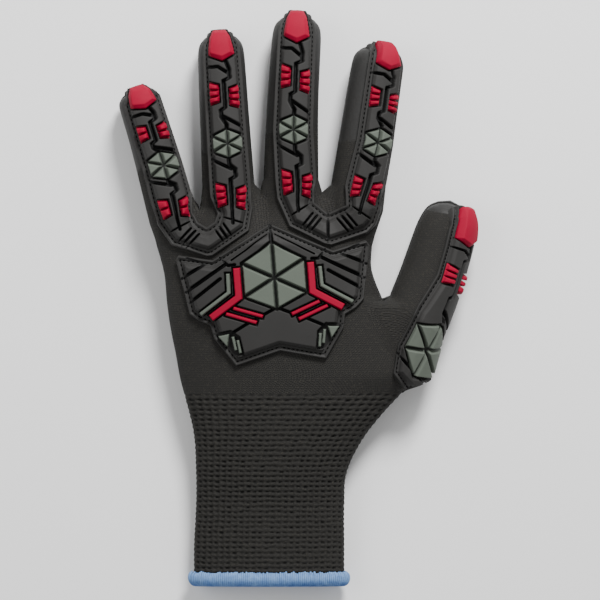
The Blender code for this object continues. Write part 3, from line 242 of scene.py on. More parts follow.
def finger_point(finger, share, scale, turn):
    """A point of the knit's outer face on a finger, turn degrees from its right side over the back."""
    rounds = finger_line(finger)
    middle = spline(rounds, share * 2)
    ahead = (spline(rounds, min(share * 2 + HEADING_STEP, 2))
             - spline(rounds, max(share * 2 - HEADING_STEP, 0)))
    heading = math.atan2(ahead.y, ahead.x)
    widths = [finger.root_width, finger.middle_width, finger.tip_width]
    half = spline(widths, share * 2) * FINGER_WIDTH / 2 * scale
    side = Vector((math.sin(heading), -math.cos(heading), 0))
    angle = math.radians(turn)
    point = middle + side * half * math.cos(angle)
    point.z += half * FINGER_HEIGHT * math.sin(angle)
    return rest_on_table(point)


def root_point(number, turn):
    """A point of the ring where a finger meets the palm; neighbours share their crotch."""
    point = finger_point(FINGERS[number], 0, 1, turn)
    for neighbour, crotch, side in ((number + 1, number, 0), (number - 1, number - 1, 180)):
        off = abs((turn - side + 180) % 360 - 180)
        if off > CROTCH_CORNER or not 0 <= crotch < len(CROTCHES):
            continue
        point = (point + finger_point(FINGERS[neighbour], 0, 1, 180 - turn)) / 2
        lowest = place(*CROTCHES[crotch])
        rise = CROTCH_BLEND + (1 - CROTCH_BLEND) * (1 - (off / CROTCH_CORNER) ** 2)
        point.x += (lowest.x - point.x) * rise
        point.y += (lowest.y - point.y) * rise
    return rest_on_table(point)


def thumb_point(station, turn):
    """A point of the thumb's outer face, turn degrees from its web side over the back."""
    heading = math.radians(station.heading)
    web = Vector((-math.sin(heading), math.cos(heading), 0))
    angle = math.radians(turn)
    point = place(station.x, station.y, station.z)
    point += web * station.width * THUMB_WIDTH / 2 * math.cos(angle)
    point.z += station.height * THUMB_WIDTH / 2 * math.sin(angle)
    return rest_on_table(point)


class Skin:
    """The knit's outer face as points and faces, each face with its region and its side."""

    def __init__(self, detail):
        self.detail = detail
        self.points = []
        self.around = []
        self.along = []
        self.coat = []
        self.faces = []
        self.regions = []
        self.palm_rows()
        self.fingers()
        self.thumb()
        self.normals = self.point_normals()

    def add(self, point, around, along=None, coat=0.0):
        """A point, with its place round the piece in columns, its place along and its share of coat."""
        self.points.append(point)
        self.around.append(around)
        self.along.append(point.y if along is None else along)
        self.coat.append(coat)
        return len(self.points) - 1

    def face(self, corners, region, palmar):
        """A triangle, or a quad split along its shorter diagonal, the same way in every layer."""
        triangles = [tuple(corners)]
        if len(corners) == 4:
            a, b, c, d = corners
            across = (self.points[a] - self.points[c]).length
            along = (self.points[b] - self.points[d]).length
            triangles = [(a, b, c), (a, c, d)] if across < along else [(a, b, d), (b, c, d)]
        for triangle in triangles:
            self.faces.append(triangle)
            self.regions.append((region, palmar))

    def bridge(self, low, high, regions, closed=True):
        """Quads between two rows of equal length."""
        count = len(low)
        for number in range(count if closed else count - 1):
            after = (number + 1) % count
            region, palmar = regions[number]
            self.face((low[number], low[after], high[after], high[number]), region, palmar)

    def palm_rows(self):
        detail = self.detail
        count = COLUMNS * detail
        last = (len(ROWS) - 1) * detail
        hole_rows = range(THUMB_FOOT * detail + 1, THUMB_WEB * detail)
        hole_columns = range(THUMB_COLUMNS[0] * detail + 1, THUMB_COLUMNS[1] * detail)
        self.rows = []
        for number in range(last + 1):
            row = []
            for column in range(count):
                inside = number in hole_rows and column in hole_columns
                row.append(None if inside else self.add(palm_point(number / detail, column / detail),
                                                        column / detail))
            self.rows.append(row)
        # The cuff and the hand are parted along the rib line
        rib = RIB_LINE * detail
        part = Vector((0, CLEARANCE / 2, 0))
        self.cuff_edge = self.rows[rib]
        hand_edge = [self.add(self.points[index] + part, self.around[index]) for index in self.cuff_edge]
        for index in self.cuff_edge:
            self.points[index] = self.points[index] - part
        sides = [(COLUMNS // 2 + 1) * detail <= column < (COLUMNS - 1) * detail for column in range(count)]
        for number in range(last):
            low, high = self.rows[number], self.rows[number + 1]
            region = "cuff" if number < rib else "hand"
            if number == rib:
                low = hand_edge
            for column in range(count):
                after = (column + 1) % count
                in_hole = (THUMB_FOOT * detail <= number < THUMB_WEB * detail
                           and THUMB_COLUMNS[0] * detail <= column < THUMB_COLUMNS[1] * detail)
                if not in_hole:
                    self.face((low[column], low[after], high[after], high[column]), region, sides[column])
        self.bridge(self.cuff_edge, hand_edge, [("seam", False)] * count)

    def fingers(self):
        detail = self.detail
        count = COLUMNS * detail
        step = CROTCH_CORNER / detail
        knuckles = self.rows[-1]
        ring = {}
        chains = {}
        for number, finger in enumerate(FINGERS):
            start = finger.first * detail
            for offset in range(4 * detail + 1):
                turn = 150 - step * offset
                for column, angle in ((start + offset, turn), (count - start - offset, -turn)):
                    if column not in ring:
                        ring[column] = self.add(root_point(number, angle), column / detail)
        for offset in range(-detail + 1, detail):
            ring[offset % count] = self.add(root_point(0, 180 - step * offset), offset % count / detail)
            ring[count // 2 + offset] = self.add(root_point(len(FINGERS) - 1, -step * offset),
                                                 (count // 2 + offset) / detail)
        for crotch in range(len(CROTCHES)):
            column = FINGERS[crotch].first + 4
            chains[crotch] = [
                self.add(root_point(crotch, CROTCH_CORNER - step * offset), column + offset / detail)
                for offset in range(1, 2 * detail)]
        # Rows between the knuckles and the fingers' roots
        low = knuckles
        sides = [("hand", (COLUMNS // 2 + 1) * detail <= column < (COLUMNS - 1) * detail)
                 for column in range(count)]
        for part in range(1, detail + 1):
            if part == detail:
                high = [ring[column] for column in range(count)]
            else:
                high = [self.add(self.points[knuckles[column]].lerp(self.points[ring[column]], part / detail),
                                 column / detail) for column in range(count)]
            self.bridge(low, high, sides)
            low = high
        for number, finger in enumerate(FINGERS):
            self.finger(number, finger, ring, chains)

    def finger(self, number, finger, ring, chains):
        detail = self.detail
        count = COLUMNS * detail
        step = CROTCH_CORNER / detail
        start = finger.first * detail
        around = TUBE_COLUMNS * detail
        loop = []
        for part in range(around):
            turn = 180 - step * part
            wrapped = (turn + 180) % 360 - 180
            if abs(wrapped) < CROTCH_CORNER and number < len(CROTCHES):
                loop.append(chains[number][round((CROTCH_CORNER - wrapped) / step) - 1])
            elif abs(wrapped) < CROTCH_CORNER:
                loop.append(ring[count // 2 - round(wrapped / step)])
            elif abs(wrapped) > 180 - CROTCH_CORNER and number > 0:
                off = wrapped - 180 if wrapped > 0 else wrapped + 180
                loop.append(chains[number - 1][round((CROTCH_CORNER + off) / step) - 1])
            elif abs(wrapped) > 180 - CROTCH_CORNER:
                off = 180 - wrapped if wrapped > 0 else -180 - wrapped
                loop.append(ring[round(off / step) % count])
            elif wrapped > 0:
                loop.append(ring[start + round((150 - wrapped) / step)])
            else:
                loop.append(ring[count - start - round((150 + wrapped) / step)])
        turns = [180 - step * part for part in range(around)]
        columns = [finger.first - 1 + part / detail for part in range(around)]
        length = (place(*finger.tip) - place(*finger.root)).length
        root_y = place(*finger.root).y
        regions = [(finger.name, 7 * detail <= part < 11 * detail) for part in range(around)]
        stations = [Vector(pair) for pair in FINGER_STATIONS]
        first = [finger_point(finger, stations[0].x, stations[0].y, turn) for turn in turns]
        low = loop
        for part in range(1, detail):
            mixed = [self.add(self.points[root].lerp(point, part / detail), place_round,
                              root_y + stations[0].x * length * part / detail)
                     for root, point, place_round in zip(loop, first, columns)]
            self.bridge(low, mixed, regions)
            low = mixed
        for part in range((len(stations) - 1) * detail + 1):
            share, scale = spline(stations, part / detail)
            coat = smoothstep((share - COAT_FROM[finger.name]) / COAT_BLEND)
            high = [self.add(finger_point(finger, share, scale, turn), place_round, root_y + share * length,
                             coat) for turn, place_round in zip(turns, columns)]
            self.bridge(low, high, regions)
            low = high
        tip = self.add(rest_on_table(place(*finger.tip)), finger.first + 5, root_y + length, 1.0)
        for part in range(around):
            region, palmar = regions[part]
            self.face((low[part], low[(part + 1) % around], tip), region, palmar)

    def thumb(self):
        detail = self.detail
        first, last = (column * detail for column in THUMB_COLUMNS)
        foot, web = THUMB_FOOT * detail, THUMB_WEB * detail
        loop = [self.rows[web][column] for column in range(first, last + 1)]
        loop += [self.rows[row][last] for row in range(web - 1, foot, -1)]
        loop += [self.rows[foot][column] for column in range(last, first - 1, -1)]
        loop += [self.rows[row][first] for row in range(foot + 1, web)]
        around = len(loop)
        half_span = (THUMB_COLUMNS[1] - THUMB_COLUMNS[0]) / 2 * detail
        turns = [360 / around * (half_span - part) for part in range(around)]
        palmar_start = (COLUMNS // 2 + 1 - THUMB_COLUMNS[0]) * detail
        palmar_end = around - palmar_start - (web - foot)
        regions = [("thumb", palmar_start <= part < palmar_end) for part in range(around)]
        stations = [Vector(station) for station in THUMB]
        near = [thumb_point(THUMB[0], turn) for turn in turns]
        columns = [THUMB_COLUMNS[0] + TUBE_COLUMNS * spot / around for spot in range(around)]
        low = loop
        for part in range(1, detail):
            mixed = [self.add(self.points[root].lerp(point, part / detail), column)
                     for root, point, column in zip(loop, near, columns)]
            self.bridge(mixed, low, regions)
            low = mixed
        for part in range((len(stations) - 1) * detail + 1):
            station = Station(*spline(stations, part / detail))
            coat = smoothstep((part / detail / (len(stations) - 1) - COAT_FROM["thumb"]) / COAT_BLEND)
            high = [self.add(thumb_point(station, turn), column, None, coat)
                    for turn, column in zip(turns, columns)]
            self.bridge(high, low, regions)
            low = high
        tip = self.add(rest_on_table(place(THUMB_TIP.x, THUMB_TIP.y, THUMB_TIP.z)),
                       THUMB_COLUMNS[0] + TUBE_COLUMNS / 2, None, 1.0)
        for part in range(around):
            region, palmar = regions[part]
            self.face((low[(part + 1) % around], low[part], tip), region, palmar)

    def point_normals(self):
        normals = [Vector() for _ in self.points]
        for corners in self.faces:
            start, middle, end = (self.points[index] for index in corners)
            cross = (middle - start).cross(end - start)
            for index in corners:
                normals[index] = normals[index] + cross
        return [normal.normalized() for normal in normals]


def stands_for(piece, slot, *nodes):
    """The piece stands for these CAD nodes, which are hidden, and hangs from the root body; the slot is not used."""
    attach(piece, "root")
    if nodes:
        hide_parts(*nodes)


def plain_mesh(name, points, faces, finish):
    """A piece of the glove from points and faces."""
    mesh = bpy.data.meshes.new(name)
    mesh.from_pydata([tuple(point) for point in points], [], [tuple(face) for face in faces])
    piece = bpy.data.objects.new(name, mesh)
    bpy.context.collection.objects.link(piece)
    mesh.materials.append(finish)
    mesh.shade_smooth()
    return piece


def stored(mesh, name, values, kind="FLOAT"):
    """Keeps a number or a vector for each point of a mesh."""
    field = "vector" if kind == "FLOAT_VECTOR" else "value"
    mesh.attributes.new(name, kind, "POINT").data.foreach_set(field, values)


def shader_group(name, inputs, outputs):
    """An empty shader node group with named sockets."""
    group = bpy.data.node_groups.new(name, "ShaderNodeTree")
    for label, kind, value in inputs:
        socket = group.interface.new_socket(name=label, in_out="INPUT", socket_type=kind)
        if value is not None:
            socket.default_value = value
    for label, kind in outputs:
        group.interface.new_socket(name=label, in_out="OUTPUT", socket_type=kind)
    return group, group.nodes.new("NodeGroupInput"), group.nodes.new("NodeGroupOutput")


def node(tree, kind, **settings):
    """A shader node with its settings; a key that names a socket sets the socket."""
    made = tree.nodes.new(kind)
    for key, value in settings.items():
        if hasattr(made, key):
            setattr(made, key, value)
        else:
            made.inputs[key.replace("_", " ")].default_value = value
    return made


def maths(tree, operation, first, second=None, third=None, clamp=False):
    """A math node fed by sockets or numbers; gives its output socket."""
    made = tree.nodes.new("ShaderNodeMath")
    made.operation = operation
    made.use_clamp = clamp
    for number, value in enumerate((first, second, third)):
        if isinstance(value, (int, float)):
            made.inputs[number].default_value = value
        elif value is not None:
            tree.links.new(value, made.inputs[number])
    return made.outputs[0]


def mixed_colour(tree, share, first, second):
    """A colour between two colours or sockets."""
    made = tree.nodes.new("ShaderNodeMix")
    made.data_type = "RGBA"
    for number, value in ((0, share), (6, first), (7, second)):
        if isinstance(value, (int, float)):
            made.inputs[number].default_value = value
        elif isinstance(value, tuple):
            made.inputs[number].default_value = (*value, 1)
        else:
            tree.links.new(value, made.inputs[number])
    return made.outputs[2]


def noise(tree, coordinates, scale, detail=2.0, roughness=0.5):
    """Noise between 0 and 1 over a coordinate socket."""
    made = node(tree, "ShaderNodeTexNoise", Scale=scale, Detail=detail, Roughness=roughness)
    tree.links.new(coordinates, made.inputs["Vector"])
    return made.outputs["Fac"]


WOBBLE_SCALE = 420.0
SPECK_SCALE = 1500.0


def knit_group():
    """Wales of V stitches from a map counted in stitches: their height, and where yarn ends catch light."""
    group, start, end = shader_group(
        "knit stitches",
        (("Stitches", "NodeSocketVector", None), ("Object", "NodeSocketVector", None)),
        (("Height", "NodeSocketFloat"), ("Specks", "NodeSocketFloat")))
    link = group.links.new
    split = group.nodes.new("ShaderNodeSeparateXYZ")
    wobble = noise(group, start.outputs["Object"], WOBBLE_SCALE, 1.0)
    offset = maths(group, "MULTIPLY", maths(group, "SUBTRACT", wobble, 0.5), 0.5)
    link(start.outputs["Stitches"], split.inputs[0])
    wale = maths(group, "FRACT", maths(group, "ADD", split.outputs["X"], offset))
    leg = maths(group, "ABSOLUTE", maths(group, "SUBTRACT", wale, 0.5))
    row = maths(group, "FRACT", maths(group, "ADD", split.outputs["Y"], maths(group, "MULTIPLY", leg, 1.1)))
    yarn = maths(group, "SINE", maths(group, "MULTIPLY", row, math.pi))
    legs = maths(group, "SINE", maths(group, "MULTIPLY", maths(group, "MULTIPLY", leg, 2), math.pi))
    height = maths(group, "ADD", maths(group, "MULTIPLY", yarn, 0.6), maths(group, "MULTIPLY", legs, 0.4))
    link(height, end.inputs["Height"])
    fine = noise(group, start.outputs["Object"], SPECK_SCALE, 1.0)
    specks = maths(group, "MULTIPLY", maths(group, "SUBTRACT", fine, 0.56), 9.0, clamp=True)
    link(maths(group, "MULTIPLY", specks, maths(group, "SUBTRACT", 1.0, yarn)), end.inputs["Specks"])
    return group


def grain_group():
    """Fine sandy grain of rubber."""
    group, start, end = shader_group(
        "fine grain", (("Object", "NodeSocketVector", None), ("Scale", "NodeSocketFloat", 900.0)),
        (("Height", "NodeSocketFloat"),))
    grain = node(group, "ShaderNodeTexNoise", Detail=3.0, Roughness=0.6)
    group.links.new(start.outputs["Object"], grain.inputs["Vector"])
    group.links.new(start.outputs["Scale"], grain.inputs["Scale"])
    group.links.new(grain.outputs["Fac"], end.inputs["Height"])
    return group


KNIT_PATTERN = knit_group()
FINE_GRAIN = grain_group()


def bumped(tree, height, distance, strength):
    """A bump node's normal from a height socket."""
    bump = node(tree, "ShaderNodeBump", Strength=strength, Distance=distance)
    tree.links.new(height, bump.inputs["Height"])
    return bump.outputs["Normal"]


def material_with(name, roughness, specular=0.4):
    """A material with its node tree and Principled shader."""
    material = bpy.data.materials.new(name)
    material.use_nodes = True
    shader = material.node_tree.nodes["Principled BSDF"]
    shader.inputs["Roughness"].default_value = roughness
    shader.inputs["Specular IOR Level"].default_value = specular
    return material, material.node_tree, shader


def grouped(tree, group, **sources):
    """A shader group placed in a tree, with its inputs fed by sockets."""
    made = tree.nodes.new("ShaderNodeGroup")
    made.node_tree = group
    for name, socket in sources.items():
        tree.links.new(socket, made.inputs[name])
    return made


def object_coordinates(tree):
    """A piece's own coordinates as a socket."""
    return tree.nodes.new("ShaderNodeTexCoord").outputs["Object"]


# Lit and shaded copies of the black yarn: painted light on the stitches' crests, painted shade in their valleys
KNIT_SHADED = (0.0025, 0.0024, 0.0022)
KNIT_LIT = (0.0225, 0.0214, 0.0194)
KNIT_SPECK = (0.046, 0.042, 0.032)
RUBBER_DARK = (0.012, 0.0118, 0.0112)
RUBBER_LIGHT = (0.028, 0.0275, 0.0265)
COAT_EDGE_SCALE = 260.0
COAT_SHARPNESS = 7.0
YARN_ROUGHNESS = 0.85
COAT_ROUGHNESS = 0.60


def knit_finish():
    """Black yarn with painted light on its stitches' crests and painted shade in their valleys, and dipped rubber
    where the piece's coat attribute says so.
    """
    material, tree, shader = material_with("black knit", YARN_ROUGHNESS, 0.25)
    link = tree.links.new
    coordinates = object_coordinates(tree)
    stitches = node(tree, "ShaderNodeUVMap", uv_map="stitches").outputs["UV"]
    knit = grouped(tree, KNIT_PATTERN, Stitches=stitches, Object=coordinates)
    grain = grouped(tree, FINE_GRAIN, Object=coordinates)
    coat = node(tree, "ShaderNodeAttribute", attribute_name="coat").outputs["Fac"]
    ragged = maths(tree, "SUBTRACT", noise(tree, coordinates, COAT_EDGE_SCALE, 4.0, 0.7), 0.5)
    share = maths(tree, "ADD", maths(tree, "SUBTRACT", coat, 0.5), maths(tree, "MULTIPLY", ragged, 0.9))
    coated = maths(tree, "MULTIPLY_ADD", share, COAT_SHARPNESS, 0.5, clamp=True)
    # Painted light and shade: the yarn is lighter on the stitches' crests and darker in their valleys, mixed by
    # stitch height
    yarn = mixed_colour(tree, knit.outputs["Height"], KNIT_SHADED, KNIT_LIT)
    yarn = mixed_colour(tree, maths(tree, "MULTIPLY", knit.outputs["Specks"], 0.8), yarn, KNIT_SPECK)
    rubber = mixed_colour(tree, grain.outputs["Height"], RUBBER_DARK, RUBBER_LIGHT)
    link(mixed_colour(tree, coated, yarn, rubber), shader.inputs["Base Color"])
    height = maths(tree, "ADD",
                   maths(tree, "MULTIPLY", knit.outputs["Height"], maths(tree, "SUBTRACT", 1.0, coated)),
                   maths(tree, "MULTIPLY", grain.outputs["Height"], maths(tree, "MULTIPLY", coated, 0.5)))
    link(bumped(tree, height, 0.00025, 0.8), shader.inputs["Normal"])
    link(maths(tree, "MULTIPLY_ADD", coated, COAT_ROUGHNESS - YARN_ROUGHNESS, YARN_ROUGHNESS),
         shader.inputs["Roughness"])
    return material


def hand_faces(skin, palm_only):
    """The hand's faces, numbered anew over the points that they use, and the same faces turned round."""
    faces = [corners for corners, (region, palmar) in zip(skin.faces, skin.regions)
             if region not in ("cuff", "seam") and (palmar or not palm_only)]
    used = sorted({index for corners in faces for index in corners})
    number = {index: spot for spot, index in enumerate(used)}
    top = [tuple(number[index] for index in corners) for corners in faces]
    bottom = [tuple(index + len(used) for index in reversed(corners)) for corners in top]
    return used, top, bottom


def knitted_hand(skin):
    """The hand's outer face, its inner face, a map counted in stitches and the coat attribute."""
    used, top, bottom = hand_faces(skin, palm_only=False)
    outer = [skin.points[index] for index in used]
    inner = [skin.points[index] - skin.normals[index] * KNIT_WALL for index in used]
    piece = plain_mesh("knitted_hand", outer + inner, top + bottom, knit_finish())
    mesh = piece.data
    stitches = mesh.uv_layers.new(name="stitches")
    spots = [(skin.around[index], skin.along[index]) for index in used] * 2
    for polygon in mesh.polygons:
        corners = [mesh.loops[loop].vertex_index for loop in polygon.loop_indices]
        around = [spots[corner][0] for corner in corners]
        turn = COLUMNS if max(around) - min(around) > 2 * COLUMNS / 3 else COLUMNS / 3
        for loop, corner, value in zip(polygon.loop_indices, corners, around):
            wrapped = value + turn if max(around) - value > turn / 2 else value
            stitches.data[loop].uv = (wrapped * STITCHES_PER_COLUMN, spots[corner][1] / STITCH_LENGTH)
    stored(mesh, "coat", [skin.coat[index] for index in used] * 2)
    stands_for(piece, "black_knit", "knit_liner")


SKIN = Skin(SKIN_DETAIL)
knitted_hand(SKIN)

# Rubber palm
# The palm, the fronts of the fingers and the fingertips are dipped in black rubber, which sets with a
# matte, slightly sandy face.


def rubber_finish():
    """Dipped rubber: matt black with a sandy grain."""
    material, tree, shader = material_with("palm rubber", 0.6, 0.4)
    height = grouped(tree, FINE_GRAIN, Object=object_coordinates(tree)).outputs["Height"]
    tree.links.new(mixed_colour(tree, height, RUBBER_DARK, RUBBER_LIGHT), shader.inputs["Base Color"])
    tree.links.new(bumped(tree, height, 0.00015, 0.7), shader.inputs["Normal"])
    return material


def rubber_palm(skin):
    """A skin under the palm side of the hand."""
    used, top, bottom = hand_faces(skin, palm_only=True)
    size = len(used)
    outer = [skin.points[index] + skin.normals[index] * (CLEARANCE + COATING_THICKNESS) for index in used]
    inner = [skin.points[index] + skin.normals[index] * CLEARANCE / 2 for index in used]
    for point in outer:
        point.z = max(point.z, 0)
    edges = {(face[i], face[(i + 1) % 3]) for face in top for i in range(3)}
    rim = [(b, a, a + size, b + size) for a, b in edges if (b, a) not in edges]
    piece = plain_mesh("rubber_palm", outer + inner, top + bottom + rim, rubber_finish())
    stands_for(piece, "palm_rubber", "palm_coating")


rubber_palm(SKIN)

# Rib cuff
# The long cuff is knitted coarser, with elastic in its rows: tight ribs run along it, and each row leaves
# a short dark slot between two ribs. Its shape is a Geometry Nodes relief over a smooth tube.

CUFF_COLUMNS = 480
CUFF_ROWS = 200
CUFF_RIBS = 52
CUFF_INNER_COLUMNS = 72
CUFF_INNER_ROWS = 16
CUFF_WALL = KNIT_WALL * 1.3
RIB_ROW = 0.00235
RIB_DEPTH = 0.0007
# The relief fades out in the last rows, and the last two run on under the hand
FADE_ROWS = 6
OVERLAP = 0.0006
OVERLAP_ROWS = 2
# Half sizes of a slot as shares of a rib and of a row, and how steep its edges are
SLOT_HALF_WIDTH = 0.36
SLOT_HALF_HEIGHT = 0.24
SLOT_EDGE = 7.0


def tree_for(name, inputs):
    """A Geometry Nodes tree with named inputs and one geometry output."""
    tree = bpy.data.node_groups.new(name, "GeometryNodeTree")
    tree.interface.new_socket(name="Geometry", in_out="INPUT", socket_type="NodeSocketGeometry")
    for label, kind, value in inputs:
        socket = tree.interface.new_socket(name=label, in_out="INPUT", socket_type=kind)
        if value is not None:
            socket.default_value = value
    tree.interface.new_socket(name="Geometry", in_out="OUTPUT", socket_type="NodeSocketGeometry")
    return tree, tree.nodes.new("NodeGroupInput"), tree.nodes.new("NodeGroupOutput")


def made_by(piece, tree, **values):
    """The piece's mesh after a Geometry Nodes tree, with its inputs set, as a plain mesh."""
    modifier = piece.modifiers.new("shape", "NODES")
    modifier.node_group = tree
    for item in tree.interface.items_tree:
        if item.item_type == "SOCKET" and item.in_out == "INPUT" and item.name.replace(" ", "_") in values:
            modifier[item.identifier] = values[item.name.replace(" ", "_")]
    depsgraph = bpy.context.evaluated_depsgraph_get()
    mesh = bpy.data.meshes.new_from_object(piece.evaluated_get(depsgraph))
    piece.modifiers.remove(modifier)
    old = piece.data
    piece.data = mesh
    bpy.data.meshes.remove(old)
    return piece


def ends_in(tree, end, geometry, finish):
    """Ends a tree: what is placed is made real, and then gets its finish."""
    real = tree.nodes.new("GeometryNodeRealizeInstances")
    dress = tree.nodes.new("GeometryNodeSetMaterial")
    dress.inputs["Material"].default_value = finish
    tree.links.new(geometry, real.inputs[0])
    tree.links.new(real.outputs[0], dress.inputs[0])
    tree.links.new(dress.outputs[0], end.inputs[0])


def attribute_of(tree, name, kind="FLOAT"):
    """A point's stored number or vector inside a tree."""
    made = tree.nodes.new("GeometryNodeInputNamedAttribute")
    made.data_type = kind
    made.inputs["Name"].default_value = name
    return made.outputs["Attribute"]


def rib_relief_tree(finish):
    """Moves a tube's points along their normals by a pattern of ribs and slots."""
    tree, start, end = tree_for("rib relief", (("Ribs", "NodeSocketFloat", CUFF_RIBS),
                                               ("Row", "NodeSocketFloat", RIB_ROW),
                                               ("Depth", "NodeSocketFloat", RIB_DEPTH)))
    link = tree.links.new
    position = tree.nodes.new("GeometryNodeInputPosition").outputs[0]
    sway = maths(tree, "SUBTRACT", noise(tree, position, 160.0, 1.0), 0.5)
    around = maths(tree, "MULTIPLY", attribute_of(tree, "around"), start.outputs["Ribs"])
    around = maths(tree, "MULTIPLY_ADD", sway, 0.5, around)
    along = maths(tree, "DIVIDE", attribute_of(tree, "along"), start.outputs["Row"])
    slip = maths(tree, "SUBTRACT", noise(tree, position, 330.0, 1.0), 0.5)
    along = maths(tree, "MULTIPLY_ADD", slip, 0.6, along)
    across = maths(tree, "ABSOLUTE", maths(tree, "SUBTRACT", maths(tree, "FRACT", around), 0.5))
    up = maths(tree, "ABSOLUTE", maths(tree, "SUBTRACT", maths(tree, "FRACT", along), 0.5))
    # A slot is short across the rib's valley and narrow along it
    slot_across = maths(tree, "MULTIPLY", maths(tree, "SUBTRACT", SLOT_HALF_WIDTH, across), SLOT_EDGE,
                        clamp=True)
    slot_up = maths(tree, "MULTIPLY", maths(tree, "SUBTRACT", SLOT_HALF_HEIGHT, up), SLOT_EDGE, clamp=True)
    slot = maths(tree, "MULTIPLY", slot_across, slot_up)
    uneven = maths(tree, "MULTIPLY_ADD", noise(tree, position, 420.0, 1.0), 1.8, -0.30, clamp=True)
    slot = maths(tree, "MULTIPLY", slot, uneven)
    rib = maths(tree, "MULTIPLY", maths(tree, "COSINE", maths(tree, "MULTIPLY", across, math.tau)), -0.22)
    row = maths(tree, "MULTIPLY", maths(tree, "COSINE", maths(tree, "MULTIPLY", up, math.tau)), -0.18)
    lean = maths(tree, "SINE", maths(tree, "MULTIPLY", maths(tree, "ADD", around, along), math.tau))
    height = maths(tree, "ADD", maths(tree, "ADD", rib, row), maths(tree, "MULTIPLY", lean, 0.10))
    height = maths(tree, "SUBTRACT", height, maths(tree, "MULTIPLY", slot, 0.9))
    height = maths(tree, "MULTIPLY", height, attribute_of(tree, "fade"))
    offset = tree.nodes.new("ShaderNodeVectorMath")
    offset.operation = "SCALE"
    normal = tree.nodes.new("GeometryNodeInputNormal")
    link(normal.outputs[0], offset.inputs[0])
    link(maths(tree, "MULTIPLY", height, start.outputs["Depth"]), offset.inputs["Scale"])
    store = tree.nodes.new("GeometryNodeStoreNamedAttribute")
    store.data_type = "FLOAT"
    store.inputs["Name"].default_value = "slot"
    link(start.outputs["Geometry"], store.inputs["Geometry"])
    link(slot, store.inputs["Value"])
    move = tree.nodes.new("GeometryNodeSetPosition")
    link(store.outputs[0], move.inputs["Geometry"])
    link(offset.outputs[0], move.inputs["Offset"])
    ends_in(tree, end, move.outputs[0], finish)
    return tree


STRAND_SCALES = (900, 2600, 900)
RIB_YARN_DARK = (0.0055, 0.0053, 0.0048)
RIB_YARN_LIGHT = (0.0235, 0.0222, 0.0198)
# Colour of the painted glints where yarn ends catch light
RIB_GLINT = (0.042, 0.038, 0.028)
# Colour of the painted shade in the slots
PAINTED_SLOT_SHADE = (0.003, 0.003, 0.003)


def rib_finish():
    """Coarse black yarn with painted olive glints where yarn ends catch light, and painted shade that darkens the
    slots.
    """
    material, tree, shader = material_with("rib knit", 0.85, 0.25)
    link = tree.links.new
    coordinates = object_coordinates(tree)
    slot = node(tree, "ShaderNodeAttribute", attribute_name="slot").outputs["Fac"]
    strands = node(tree, "ShaderNodeTexNoise", Scale=1.0, Detail=2.0)
    stretch = node(tree, "ShaderNodeVectorMath", operation="MULTIPLY")
    stretch.inputs[1].default_value = STRAND_SCALES
    link(coordinates, stretch.inputs[0])
    link(stretch.outputs[0], strands.inputs["Vector"])
    yarn = mixed_colour(tree, strands.outputs["Fac"], RIB_YARN_DARK, RIB_YARN_LIGHT)
    # Painted glints: olive specks where yarn ends catch light
    bright = maths(tree, "SUBTRACT", noise(tree, coordinates, 1900.0, 1.0), 0.6)
    specks = maths(tree, "MULTIPLY", bright, 8.0, clamp=True)
    yarn = mixed_colour(tree, maths(tree, "MULTIPLY", specks, 0.5), yarn, RIB_GLINT)
    # Painted shade darkens the slots
    link(mixed_colour(tree, slot, yarn, PAINTED_SLOT_SHADE), shader.inputs["Base Color"])
    link(bumped(tree, strands.outputs["Fac"], 0.0003, 0.7), shader.inputs["Normal"])
    return material


def tube_faces(start, rows, columns):
    """Quads between rows of points numbered from start on, each row a closed ring."""
    faces = []
    for row in range(rows):
        low = start + row * columns
        high = low + columns
        for column in range(columns):
            after = (column + 1) % columns
            faces.append((low + column, low + after, high + after, high + column))
    return faces


def rib_cuff():
    """The ribbed tube and its plain inner face."""
    points, along, fade = [], [], []
    for row in range(CUFF_ROWS + 1):
        for column in range(CUFF_COLUMNS):
            point = palm_point(RIB_LINE * row / CUFF_ROWS, COLUMNS * column / CUFF_COLUMNS)
            point.y += OVERLAP * max(0, 1 - (CUFF_ROWS - row) / OVERLAP_ROWS)
            points.append(point)
            along.append(point.y - SHIFT_Y)
            fade.append(min(1, (CUFF_ROWS - row) / FADE_ROWS))
    # The ribs are spread evenly over the tube's length round, not over its columns
    ring = points[:CUFF_COLUMNS]
    steps = [(ring[(number + 1) % CUFF_COLUMNS] - ring[number]).length for number in range(CUFF_COLUMNS)]
    total = np.concatenate(([0], np.cumsum(steps)))
    around = list(total[:CUFF_COLUMNS] / total[-1]) * (CUFF_ROWS + 1)
    outer_count = len(points)
    for row in range(CUFF_INNER_ROWS + 1):
        at = RIB_LINE * row / CUFF_INNER_ROWS
        centre = palm_point(at, 0).lerp(palm_point(at, COLUMNS / 2), 0.5)
        for column in range(CUFF_INNER_COLUMNS):
            point = palm_point(at, COLUMNS * column / CUFF_INNER_COLUMNS)
            inward = Vector((centre.x - point.x, 0, centre.z - point.z)).normalized()
            points.append(point + inward * CUFF_WALL)
    inner_zeros = [0] * (len(points) - outer_count)
    faces = tube_faces(0, CUFF_ROWS, CUFF_COLUMNS)
    faces += [(b, a, d, c) for a, b, c, d in tube_faces(outer_count, CUFF_INNER_ROWS, CUFF_INNER_COLUMNS)]
    finish = rib_finish()
    piece = plain_mesh("rib_knit_cuff", points, faces, finish)
    for name, values in (("around", around), ("along", along), ("fade", fade)):
        stored(piece.data, name, values + inner_zeros)
    made_by(piece, rib_relief_tree(finish), Ribs=float(CUFF_RIBS), Row=RIB_ROW, Depth=RIB_DEPTH)
    piece.data.shade_smooth()
    stands_for(piece, "rib_knit", "rib_cuff")


rib_cuff()

